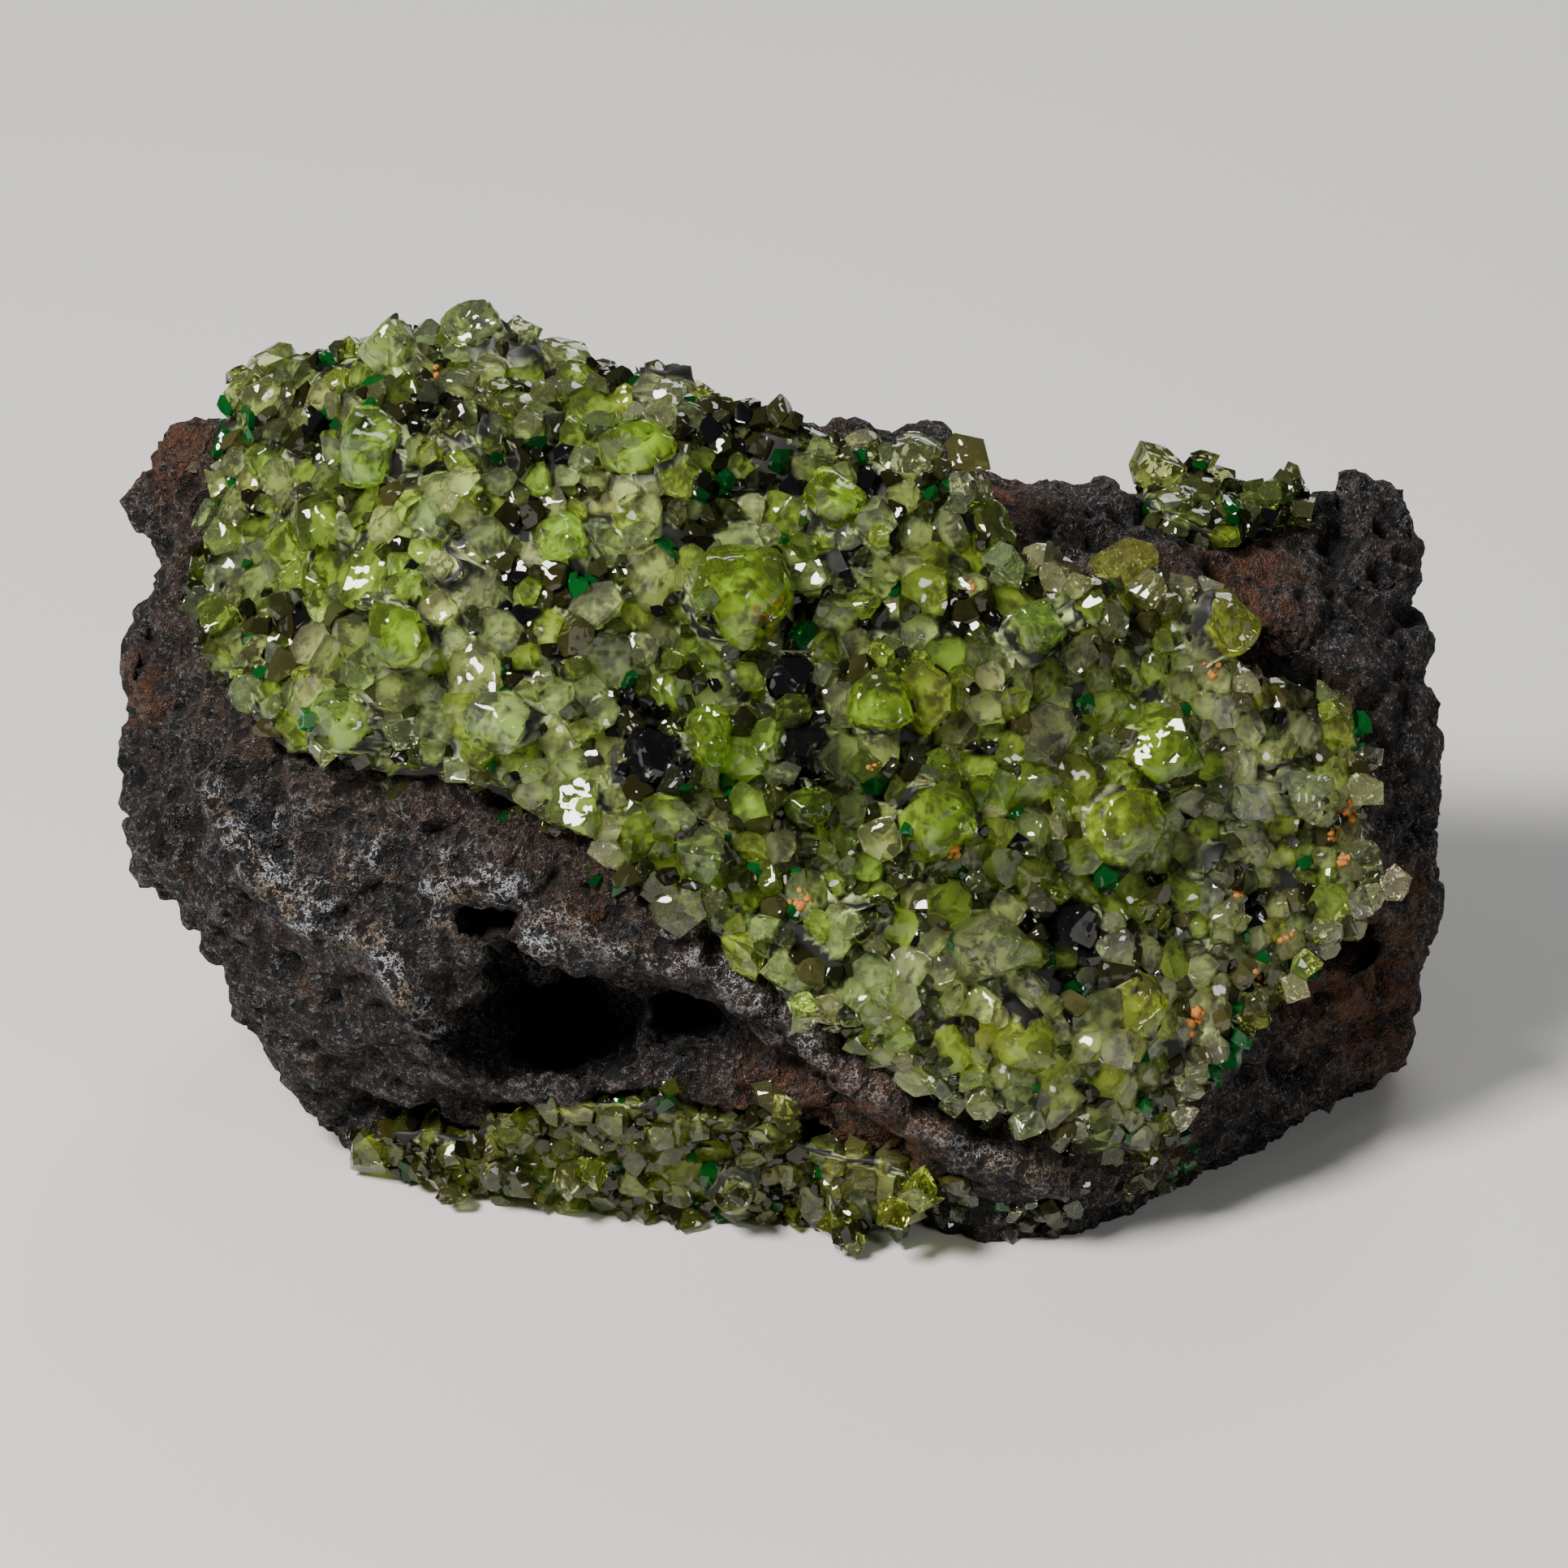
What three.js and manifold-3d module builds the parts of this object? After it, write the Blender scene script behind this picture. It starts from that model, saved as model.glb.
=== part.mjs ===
// Peridot in basalt: a hand specimen of dark, bubbly basalt that carries three lumps of granular
// green olivine, with black spinel crystals set in the largest one. The stone rests on a flat broken
// face. Lengths are millimetres.
//
// The stone is drawn in the frame of its show face: u runs right, v runs up the face and w runs out
// of it. The finished group is leaned back about X, so that +Z is up and the show face looks up and
// forwards.
import * as THREE from "three";
import { ConvexGeometry } from "three/addons/geometries/ConvexGeometry.js";
import { mergeVertices } from "three/addons/utils/BufferGeometryUtils.js";
import Module from "manifold-3d";

const wasm = await Module();
wasm.setup();

// Driving dimensions
const FACE_LEAN = THREE.MathUtils.degToRad(60); // how far the show face's v axis leans back from level
const BASE_DEPTH = 17.5; // from the stone's middle straight down to the face that it rests on
const BASE_TUCK = 1.0; // how far the uncut underside reaches below that face
const SEAT_GAP = 0.35; // clearance between a lump or crystal and the seat that it sits in
const SEAT_SLOPE = 1.4; // how steeply a seat sinks from its edge
const STEP_SLOPE = 2.2; // how steeply the basalt's surface steps down
const LUMP_SLOPE = 4; // how steeply a lump's side drops outside its edge
const LUMP_DROP = 12; // how far that side goes on dropping, into the stone
const WELD = 1e-3; // vertices closer than this are one vertex
const EDGE_SHARPNESS = 40; // higher is a crisper edge where two broken faces meet
const CHIP_COUNT = 34; // chips broken from the basalt's edges and corners
const CHIP_DEPTHS = [0.6, 2.0]; // the shallowest and the deepest chip
const ROCK_DETAIL = 11; // subdivision of the basalt's surface
const LUMP_DETAIL = 12; // subdivision of the lumps' outer surfaces, whose facets stand for grains
const STONE_HALF = new THREE.Vector3(35, 24, 17); // half-size of the stone, for evenly sized facets
const GRAIN_RELIEF = 0.9; // how far the lumps' small grains stand out or lie back

const BASALT_COLOUR = 0x3a3431;
const OLIVINE_COLOUR = 0x8fa64a;
const SPINEL_COLOUR = 0x0b0c0d;

// The stone's silhouette, seen square on to the show face, anticlockwise from its right end: [u, v]
const ROCK_OUTLINE = [
  [35.0, -2.0],
  [35.4, 3.0],
  [34.0, 5.5],
  [33.4, 11.5],
  [33.4, 15.9],
  [28.8, 15.9],
  [26.8, 14.6],
  [18.5, 15.0],
  [10.8, 15.4],
  [8.0, 17.6],
  [5.8, 18.0],
  [0.0, 18.8],
  [-5.5, 20.0],
  [-8.5, 21.0],
  [-13.0, 22.8],
  [-20.5, 23.0],
  [-26.5, 21.6],
  [-29.6, 20.0],
  [-32.4, 19.6],
  [-34.6, 17.2],
  [-35.2, 13.0],
  [-32.6, 12.2],
  [-32.8, 10.2],
  [-34.2, 6.5],
  [-35.4, 2.6],
  [-34.8, -3.2],
  [-32.0, -6.0],
  [-29.0, -10.5],
  [-27.0, -14.0],
  [-25.4, -17.5],
  [-23.0, -20.4],
  [-18.0, -23.0],
  [-6.0, -24.0],
  [8.0, -25.0],
  [16.0, -25.0],
  [20.4, -21.0],
  [25.2, -18.6],
  [27.4, -17.2],
  [33.4, -15.8],
  [33.6, -11.5],
  [35.0, -7.8],
];

// The broken faces: outward normal and distance from the stone's middle
const face = (u, v, w, distance) => ({
  normal: new THREE.Vector3(u, v, w).normalize(),
  distance,
});
const SHARED_FACES = [
  face(0.1, 0.16, 0.98, 14.6), // show face, left and middle
  face(0.42, 0.02, 0.9, 17.0), // show face, falling away to the right
  face(-0.45, -0.45, 0.77, 22.8), // left lower face, under the shelf
  face(-0.22, -0.64, 0.74, 20.8), // lower face, with the hollows
  face(0.35, -0.66, 0.66, 25.4), // right lower face
  face(-0.62, 0.3, 0.72, 25.4), // left upper bevel
  face(0.05, 0.78, 0.62, 21.0), // top bevel
  face(-0.1, 0.86, -0.5, 20.4), // top, falling away behind
  face(0.0, 0.5, -0.866, 17.5), // back
  face(-0.66, 0.2, -0.72, 29.0), // back, to the left
  face(0.66, 0.12, -0.74, 30.0), // back, to the right
  face(0.0, -Math.sin(FACE_LEAN), -Math.cos(FACE_LEAN), BASE_DEPTH + BASE_TUCK),
];
const BASALT_FACES = [
  ...SHARED_FACES,
  face(0.33, 0.64, 0.69, 17.2), // low block behind the main lump's upper right edge
  face(0.72, -0.28, 0.64, 26.4), // right end, below the main lump
];

// The squared corner at the low block's end, as the corners [u, v, w] of its hull
const SQUARE_CORNER = [
  [29.8, 15.7, -3.8],
  [33.2, 15.8, -5.4],
  [33.4, 10.6, -0.8],
  [29.8, 10.0, 0.8],
  [29.8, 15.3, -9.0],
  [33.0, 15.4, -9.0],
  [33.4, 10.6, -9.0],
  [29.8, 10.0, -9.0],
];

// Places where the basalt's surface steps down: outline [u, v] on the show face, and how deep
const SHELF_STEP = {
  outline: [
    [-37.0, 3.0],
    [-30.0, 5.5],
    [-22.0, 3.0],
    [-8.0, -3.0],
    [4.0, -12.0],
    [13.0, -18.0],
    [12.0, -19.4],
    [4.0, -15.6],
    [-2.5, -12.0],
    [-8.0, -9.3],
    [-13.0, -8.6],
    [-17.5, -6.4],
    [-22.5, -7.4],
    [-27.5, -3.4],
    [-37.0, -1.0],
  ],
  depth: 1.3,
};
const UNDERCUT_STEP = {
  outline: [
    [-18.2, -11.5],
    [-16.2, -8.6],
    [-13.0, -8.2],
    [-11.5, -10.0],
    [-4.5, -10.2],
    [0.5, -13.9],
    [5.0, -17.0],
    [8.6, -19.9],
    [5.6, -20.6],
    [-2.0, -17.8],
    [-8.0, -16.4],
    [-14.0, -15.8],
    [-17.8, -14.6],
  ],
  depth: 3.4,
};
const STEPS = [SHELF_STEP, UNDERCUT_STEP];

// Broad hollows in the basalt: middle, reach and depth of each
const hollow = (u, v, w, reach, depth) => ({
  middle: new THREE.Vector3(u, v, w),
  reach,
  depth,
});
const HOLLOWS = [
  hollow(29.0, -11.0, 7.0, 4.0, 3.6), // right end, under its ledge
  hollow(25.0, 9.0, 1.5, 3.5, 1.8), // behind the main lump's right edge
  hollow(-15, 16, -13, 7.0, 2.4), // back, left
  hollow(14, 4, -19, 8.0, 2.2), // back, right
];

// Gas bubbles and cavities: place [u, v], half-width along u, v and w, and how far the middle lies
// under the surface
const FRONT_CAVITIES = [
  [-12.4, -12.8, 5.6, 3.2, 7.0, 0.6], // the big cavity
  [-14.0, -9.8, 2.0, 2.2, 4.6, 0.6], // its chimney, up into the shelf
  [-15.2, -6.9, 1.8, 1.2, 2.6, 0.4], // bubble in the shelf's edge
  [-5.1, -12.0, 1.9, 1.6, 3.6, 0.4], // round bubble right of the cavity
  [-20.4, -17.6, 2.6, 1.2, 2.8, 0.3], // slot at the lower left
  [2.6, -18.0, 4.4, 1.6, 2.6, 0.2], // long hollow
  [29.6, -8.6, 2.4, 1.4, 3.2, 0.3], // under the right end's ledge
  [32.0, -13.4, 1.2, 1.1, 2.0, 0.2], // at the right end's lower corner
  [25.4, 6.4, 2.4, 1.5, 2.6, 0.3], // dark pocket by the main lump
  [-33.6, 6.8, 0.9, 1.4, 2.0, 0.0], // left end
];
const BACK_CAVITIES = [
  [-8, 15, 2.6, 1.9, 2.2, 0.2],
  [-22, 6, 1.9, 2.4, 2.2, 0.2],
  [4, 9, 2.0, 1.6, 2.2, 0.2],
  [20, 9, 2.9, 2.0, 2.3, 0.2],
  [26, -4, 1.8, 1.6, 2.0, 0.2],
];

// Olivine lumps: the faces that they follow, their outline [u, v] on the show face, how far behind
// the stone's middle they still reach, how proud of those faces they stand and how deep they go, how
// many crystals they carry besides the large ones, and the least and greatest size of those. The
// lower lump lies back from them, under the overhang.
const MAIN_LUMP = {
  faces: SHARED_FACES,
  outline: [
    [31.0, 3.4],
    [31.2, -6.0],
    [28.6, -8.2],
    [26.4, -12.0],
    [22.0, -17.5],
    [19.4, -20.4],
    [14.5, -19.2],
    [9.2, -18.2],
    [5.6, -15.9],
    [0.4, -12.2],
    [-2.8, -9.4],
    [-5.8, -7.2],
    [-8.3, -4.8],
    [-14.0, -1.8],
    [-20.8, 0.4],
    [-27.0, 1.4],
    [-30.4, 5.5],
    [-31.6, 10.0],
    [-31.2, 17.0],
    [-28.4, 22.0],
    [-22.0, 28.0],
    [-9.0, 28.0],
    [-3.5, 20.2],
    [0.6, 18.2],
    [9.4, 16.2],
    [12.0, 11.8],
    [18.2, 11.2],
    [23.2, 9.4],
    [27.0, 5.2],
  ],
  behind: 1.0,
  proud: 1.0,
  deep: 6.0,
  crystals: 16,
  sizes: [1.2, 2.0],
  seed: 7,
};
const LOWER_LUMP = {
  faces: SHARED_FACES,
  outline: [
    [7.6, -22.6],
    [1.8, -20.8],
    [-0.4, -19.2],
    [-4.2, -18.6],
    [-7.4, -16.7],
    [-11.4, -16.3],
    [-14.0, -17.6],
    [-17.4, -19.8],
    [-20.6, -20.9],
    [-24.0, -19.8],
    [-23.0, -29.0],
    [6.6, -29.0],
  ],
  behind: 0,
  proud: -0.7,
  deep: 4.6,
  crystals: 12,
  sizes: [1.1, 1.7],
  seed: 19,
};
const BACK_LUMP = {
  faces: BASALT_FACES,
  outline: [
    [27.6, 13.4],
    [25.2, 12.4],
    [20.5, 13.0],
    [18.3, 14.6],
    [18.0, 21.0],
    [27.6, 21.0],
  ],
  behind: 7,
  proud: 1.1,
  deep: 2.6,
  crystals: 3,
  sizes: [1.2, 1.6],
  seed: 31,
};

// The main lump's large crystals: middle [u, v], half-width and half-height
const LARGE_CRYSTALS = [
  [-2.3, 9.4, 2.9, 2.7],
  [-22.6, 3.0, 2.3, 1.7],
  [-21.2, 17.0, 2.1, 2.3],
  [-19.6, 7.4, 1.8, 1.8],
  [-14.6, 3.0, 2.0, 1.7],
  [-24.0, 13.4, 1.7, 2.0],
  [-7.4, 17.0, 2.2, 1.8],
  [-11.2, 12.4, 1.5, 1.6],
  [-3.8, 2.0, 1.3, 2.2],
  [-4.2, -3.9, 1.3, 1.8],
  [5.0, 3.8, 1.9, 1.7],
  [1.2, -1.6, 1.3, 1.2],
  [7.6, -2.2, 2.3, 2.0],
  [13.0, 7.6, 1.6, 1.5],
  [19.6, 1.6, 2.3, 1.9],
  [17.6, -2.4, 2.2, 2.0],
  [22.8, 8.2, 1.6, 2.0],
  [26.6, -0.6, 2.0, 1.6],
  [2.6, 14.2, 1.6, 1.8],
  [10.2, 12.2, 2.2, 1.9],
  [-10.6, -1.4, 1.8, 1.6],
  [-20.4, 22.4, 1.7, 1.5],
  [-15.8, 23.4, 1.8, 1.5],
  [12.2, -13.6, 2.0, 1.7],
  [18.4, -11.6, 1.4, 2.0],
];

const LUMPS = [MAIN_LUMP, LOWER_LUMP, BACK_LUMP];

// The lower lump's hanging crystals, in the same way
const HANGING_CRYSTALS = [
  [3.4, -22.8, 1.1, 2.1],
  [-2.6, -21.6, 1.2, 1.5],
];

// Black spinel crystals: middle [u, v] and half-width
const SPINEL_CRYSTALS = [
  [-6.8, 0.9, 1.8],
  [1.0, 1.5, 1.4],
  [0.4, 5.2, 1.2],
  [14.8, -7.6, 1.4],
];

// The same numbers in [0, 1) on every run, for one seed
function seededRandom(seed) {
  let state = seed;
  return () => {
    state = (state + 0x6d2b79f5) | 0;
    let mixed = Math.imul(state ^ (state >>> 15), 1 | state);
    mixed = (mixed + Math.imul(mixed ^ (mixed >>> 7), 61 | mixed)) ^ mixed;
    return ((mixed ^ (mixed >>> 14)) >>> 0) / 4294967296;
  };
}

// Smooth noise between -1 and 1, with one lump to each unit of length
function latticeValue(i, j, k) {
  let mixed = Math.imul(i, 374761393) + Math.imul(j, 668265263);
  mixed = (mixed + Math.imul(k, 1274126177)) | 0;
  mixed = Math.imul(mixed ^ (mixed >>> 13), 1274126177);
  return ((mixed ^ (mixed >>> 16)) >>> 0) / 2147483648 - 1;
}

function noise(x, y, z) {
  const cell = [x, y, z].map(Math.floor);
  const ease = [x, y, z].map((value, axis) => {
    const t = value - cell[axis];
    return t * t * (3 - 2 * t);
  });
  let sum = 0;
  for (let corner = 0; corner < 8; corner++) {
    const step = [corner & 1, (corner >> 1) & 1, corner >> 2];
    const weight = step.reduce(
      (product, s, axis) => product * (s ? ease[axis] : 1 - ease[axis]),
      1,
    );
    sum += weight * latticeValue(...cell.map((c, axis) => c + step[axis]));
  }
  return sum;
}

// How far a ray from the middle travels at that angle before it leaves the outline
function outlineRadius(outline, angle) {
  const du = Math.cos(angle);
  const dv = Math.sin(angle);
  let reach = 0;
  outline.forEach(([u0, v0], i) => {
    const [u1, v1] = outline[(i + 1) % outline.length];
    const cross = du * (v1 - v0) - dv * (u1 - u0);
    const along = (u0 * (v1 - v0) - v0 * (u1 - u0)) / cross;
    const share = (u0 * dv - v0 * du) / cross;
    if (share >= 0 && share <= 1) reach = Math.max(reach, along);
  });
  return reach;
}

// Distance from a point to an outline's edge, positive inside
function insideDistance(outline, u, v) {
  let nearest = Infinity;
  let inside = false;
  outline.forEach(([u0, v0], i) => {
    const [u1, v1] = outline[(i + 1) % outline.length];
    const length2 = (u1 - u0) ** 2 + (v1 - v0) ** 2;
    const along = ((u - u0) * (u1 - u0) + (v - v0) * (v1 - v0)) / length2;
    const t = THREE.MathUtils.clamp(along, 0, 1);
    nearest = Math.min(
      nearest,
      Math.hypot(u - u0 - t * (u1 - u0), v - v0 - t * (v1 - v0)),
    );
    if (v0 > v !== v1 > v && u < u0 + ((v - v0) / (v1 - v0)) * (u1 - u0))
      inside = !inside;
  });
  return inside ? nearest : -nearest;
}

// Radius of the broken block along a direction, before lumps and hollows
function blockRadius(direction, faces) {
  const across = Math.hypot(direction.x, direction.y);
  const rim = outlineRadius(
    ROCK_OUTLINE,
    Math.atan2(direction.y, direction.x),
  );
  let sum = (across / rim) ** EDGE_SHARPNESS;
  for (const { normal, distance } of faces) {
    const facing = normal.dot(direction) / distance;
    if (facing > 0) sum += facing ** EDGE_SHARPNESS;
  }
  return sum ** (-1 / EDGE_SHARPNESS);
}

// Roughness of the broken stone, in millimetres, at a point near its surface
function roughness({ x, y, z }) {
  return (
    0.7 * noise(x / 9, y / 9, z / 9) +
    0.45 * noise(x / 4.3 + 20, y / 4.3, z / 4.3)
  );
}

function randomDirection(random) {
  const height = 2 * random() - 1;
  const turn = 2 * Math.PI * random();
  const ring = Math.sqrt(1 - height * height);
  return new THREE.Vector3(
    ring * Math.cos(turn),
    ring * Math.sin(turn),
    height,
  );
}

// Small faces where chips have broken off: each cuts back whatever stands out furthest along it.
// None faces sideways, so that the silhouette keeps its corners.
function chipFaces(seed) {
  const random = seededRandom(seed);
  const [least, most] = CHIP_DEPTHS;
  const spread = Array.from({ length: 900 }, () => {
    const direction = randomDirection(random);
    return direction.multiplyScalar(blockRadius(direction, BASALT_FACES));
  });
  const chips = [];
  while (chips.length < CHIP_COUNT) {
    const normal = randomDirection(random);
    if (Math.abs(normal.z) < 0.5) continue;
    const reach = Math.max(...spread.map((point) => point.dot(normal)));
    const distance = reach - least - (most - least) * random();
    chips.push({ normal, distance });
  }
  return chips;
}
const CHIPPED_FACES = [...BASALT_FACES, ...chipFaces(3)];

// How far inside a lump's edge the stone's surface is in that direction, positive inside
function lumpEdge(lump, direction) {
  const radius = blockRadius(direction, lump.faces);
  const [u, v, w] = direction.toArray().map((c) => c * radius);
  const ragged = 0.7 * noise(u / 2.6, v / 2.6, w / 2.6);
  return Math.min(
    insideDistance(lump.outline, u, v) + ragged,
    w + lump.behind + ragged,
  );
}

// Outer surface of a lump: proud of the stone inside its edge, and dropping steeply into it outside
function lumpRadius(lump, direction) {
  const edge = lumpEdge(lump, direction);
  const block = blockRadius(direction, lump.faces);
  const point = direction.clone().multiplyScalar(block);
  const rise =
    edge > 0
      ? Math.min(edge, lump.proud)
      : Math.max(LUMP_SLOPE * edge, -LUMP_DROP);
  const { x, y, z } = point;
  const grains = GRAIN_RELIEF * noise(x / 0.9, y / 0.9, z / 0.9);
  return block + 0.7 * roughness(point) + grains + rise;
}

// Surface of the basalt, which sinks to a seat under each lump
function basaltRadius(direction) {
  const block = blockRadius(direction, CHIPPED_FACES);
  const point = direction.clone().multiplyScalar(block);
  let radius = block + roughness(point);
  for (const { middle, reach, depth } of HOLLOWS) {
    const away = point.distanceTo(middle) / reach;
    radius -= depth * Math.exp(-away * away);
  }
  for (const { outline, depth } of STEPS) {
    const sink = STEP_SLOPE * insideDistance(outline, point.x, point.y);
    if (point.z > 0) radius -= THREE.MathUtils.clamp(sink, 0, depth);
  }
  for (const lump of LUMPS) {
    const sink = SEAT_SLOPE * lumpEdge(lump, direction);
    radius -= THREE.MathUtils.clamp(sink, 0, lump.deep);
  }
  return radius;
}

// A closed surface around the middle, whose radius a function gives for each direction
function radialSolid(detail, radiusAlong) {
  const geometry = new THREE.IcosahedronGeometry(1, detail);
  const positions = geometry.getAttribute("position");
  const point = new THREE.Vector3();
  for (let i = 0; i < positions.count; i++) {
    point.fromBufferAttribute(positions, i).multiply(STONE_HALF).normalize();
    point.multiplyScalar(radiusAlong(point.clone()));
    positions.setXYZ(i, ...point);
  }
  return solid(geometry);
}

// A crystal with flat faces: the hull of points spread over a squashed ball
function crystalGeometry(half, corners, random) {
  const points = [];
  for (let i = 0; i < corners; i++) {
    const height = 1 - (2 * (i + 0.5)) / corners;
    const turn = i * 2.4 + random() * 0.9;
    const ring = Math.sqrt(1 - height * height);
    const radius = 0.86 + 0.28 * random();
    points.push(
      new THREE.Vector3(ring * Math.cos(turn), ring * Math.sin(turn), height)
        .multiplyScalar(radius)
        .multiply(half),
    );
  }
  return new ConvexGeometry(points);
}

function solid(geometry) {
  const bare = geometry.clone();
  bare.deleteAttribute("normal");
  bare.deleteAttribute("uv");
  const merged = mergeVertices(bare, WELD);
  return new wasm.Manifold(
    new wasm.Mesh({
      numProp: 3,
      vertProperties: merged.getAttribute("position").array,
      triVerts: new Uint32Array(merged.index.array),
    }),
  );
}

function geometryOf(manifold) {
  const { vertProperties, triVerts } = manifold.getMesh();
  const geometry = new THREE.BufferGeometry();
  geometry.setAttribute(
    "position",
    new THREE.BufferAttribute(vertProperties, 3),
  );
  geometry.setIndex(new THREE.BufferAttribute(triVerts, 1));
  geometry.computeVertexNormals();
  return geometry;
}

// The largest of a solid's separate bodies, once its vertices are welded, so that no loose crumb is
// left by a cut
function largestBody(manifold) {
  const bodies = solid(geometryOf(manifold)).decompose();
  bodies.sort((a, b) => b.volume() - a.volume());
  return bodies[0];
}

// The outermost point of a radial surface at (u, v), on the show side, or behind with side -1
function surfacePoint(radiusAlong, u, v, side = 1) {
  let outside = 30;
  let inside = 0;
  for (let step = 0; step < 30; step++) {
    const point = new THREE.Vector3(u, v, (side * (outside + inside)) / 2);
    const reach = radiusAlong(point.clone().normalize());
    if (point.length() > reach) outside = Math.abs(point.z);
    else inside = Math.abs(point.z);
  }
  return new THREE.Vector3(u, v, side * inside);
}

// Places and sizes of a lump's crystals: the large ones first, then small ones wherever there is room
function crystalPlaces(lump, large, keepClear) {
  const random = seededRandom(lump.seed);
  const places = large.map(([u, v, across, up]) => ({
    middle: surfacePoint((direction) => lumpRadius(lump, direction), u, v),
    half: new THREE.Vector3(across, up, Math.min(across, up)),
  }));
  const wanted = places.length + lump.crystals;
  for (let tries = 0; places.length < wanted && tries < 20000; tries++) {
    const direction = randomDirection(random);
    if (lumpEdge(lump, direction) < 0.7) continue;
    const [least, most] = lump.sizes;
    const size = least + (most - least) * random() ** 2;
    const middle = direction.multiplyScalar(
      lumpRadius(lump, direction) - 0.25 * size,
    );
    const crowded = [...places, ...keepClear].some(
      (other) =>
        other.middle.distanceTo(middle) < 0.72 * (size + other.half.y),
    );
    if (crowded) continue;
    const half = new THREE.Vector3(
      size * (0.85 + 0.4 * random()),
      size * (0.85 + 0.3 * random()),
      size * 0.95,
    );
    places.push({ middle, half });
  }
  return places;
}

// All of a lump's crystals, joined
function crystalCrust(places, seed) {
  const random = seededRandom(seed);
  return places
    .map(({ middle, half }) => {
      const large = half.y > 1.6;
      const geometry = crystalGeometry(half, large ? 14 : 10, random);
      geometry.rotateZ(random() * Math.PI * (large ? 0.15 : 1));
      geometry.translate(...middle);
      return solid(geometry);
    })
    .reduce((crust, crystal) => crust.add(crystal));
}

// A lump is all that stands clear of its seat: its body and the crystals on it
function lumpSolid(lump, places) {
  const body = radialSolid(LUMP_DETAIL, (direction) =>
    lumpRadius(lump, direction),
  );
  const seat = radialSolid(
    ROCK_DETAIL,
    (direction) => basaltRadius(direction) + SEAT_GAP,
  );
  return body.add(crystalCrust(places, lump.seed)).subtract(seat);
}

// A box that takes away all that lies below the base, with room to spare
function belowBase() {
  const size = 200;
  const geometry = new THREE.BoxGeometry(size, size, size);
  geometry.translate(0, 0, -BASE_DEPTH - size / 2);
  geometry.rotateX(-FACE_LEAN);
  return solid(geometry);
}

function cavitySolid([u, v, across, up, deep, sunk], side, seed) {
  const middle = surfacePoint(basaltRadius, u, v, side);
  middle.z -= side * sunk;
  const shape = new THREE.IcosahedronGeometry(1, 1);
  shape.scale(across, up, deep);
  shape.translate(...middle);
  const positions = shape.getAttribute("position");
  const point = new THREE.Vector3();
  for (let i = 0; i < positions.count; i++) {
    point.fromBufferAttribute(positions, i);
    const swell = 1 + 0.16 * noise(point.x + seed, point.y, point.z);
    point.sub(middle).multiplyScalar(swell).add(middle);
    positions.setXYZ(i, ...point);
  }
  return solid(shape);
}

function spinelPlaces() {
  return SPINEL_CRYSTALS.map(([u, v, half]) => {
    const middle = surfacePoint((direction) => lumpRadius(MAIN_LUMP, direction), u, v);
    middle.z -= 0.3 * half;
    return { middle, half: new THREE.Vector3(half, half, half) };
  });
}

// A spinel crystal is an octahedron with its corners cut back a little
function spinelSolid({ middle, half }, turn, grow) {
  const octahedron = new THREE.OctahedronGeometry(1.32 * half.x + 1.7 * grow);
  const cube = new THREE.BoxGeometry(1, 1, 1);
  const side = 2 * (half.x * 1.02 + grow);
  cube.scale(side, side, side);
  for (const geometry of [octahedron, cube]) {
    geometry.rotateX(0.5 + turn);
    geometry.rotateZ(0.4 + 1.7 * turn);
    geometry.translate(...middle);
  }
  return solid(octahedron).intersect(solid(cube));
}

function material(color, roughness) {
  return new THREE.MeshStandardMaterial({ color, roughness, metalness: 0 });
}

function piece(name, manifold, finish) {
  const mesh = new THREE.Mesh(geometryOf(manifold), finish);
  mesh.name = name;
  return mesh;
}

function buildStone() {
  const base = belowBase();
  const spinel = spinelPlaces();
  const lumps = [
    { name: "peridot_main", lump: MAIN_LUMP, large: LARGE_CRYSTALS },
    { name: "peridot_lower", lump: LOWER_LUMP, large: HANGING_CRYSTALS },
    { name: "peridot_back", lump: BACK_LUMP, large: [] },
  ].map((entry) => ({
    ...entry,
    places: crystalPlaces(entry.lump, entry.large, spinel),
  }));

  const corner = SQUARE_CORNER.map((point) => new THREE.Vector3(...point));
  let basalt = radialSolid(ROCK_DETAIL, basaltRadius).add(
    solid(new ConvexGeometry(corner)),
  );
  FRONT_CAVITIES.forEach((cavity, i) => {
    basalt = basalt.subtract(cavitySolid(cavity, 1, 10 * i));
  });
  BACK_CAVITIES.forEach((cavity, i) => {
    basalt = basalt.subtract(cavitySolid(cavity, -1, 10 * i + 5));
  });
  basalt = largestBody(basalt.subtract(base));

  const olivine = material(OLIVINE_COLOUR, 0.25);
  const stone = new THREE.Group();
  stone.add(piece("basalt_matrix", basalt, material(BASALT_COLOUR, 0.9)));
  for (const { name, lump, places } of lumps) {
    let crystals = lumpSolid(lump, places);
    spinel.forEach((place, i) => {
      crystals = crystals.subtract(spinelSolid(place, i, SEAT_GAP));
    });
    stone.add(
      piece(name, largestBody(crystals.subtract(base)), olivine),
    );
  }
  const black = material(SPINEL_COLOUR, 0.15);
  spinel.forEach((place, i) => {
    const name = `spinel_crystal_${i + 1}`;
    stone.add(piece(name, spinelSolid(place, i, 0), black));
  });
  return stone;
}

// The stone leans back and stands on the plane z = 0, with the middle of its bounding box over the
// origin
const stone = buildStone();
stone.rotation.x = FACE_LEAN;
const specimen = new THREE.Group();
specimen.add(stone);
const bounds = new THREE.Box3().setFromObject(specimen, true);
const centre = bounds.getCenter(new THREE.Vector3());
stone.position.set(-centre.x, -centre.y, -bounds.min.z);

export default specimen;
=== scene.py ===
import math
from itertools import combinations

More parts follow.
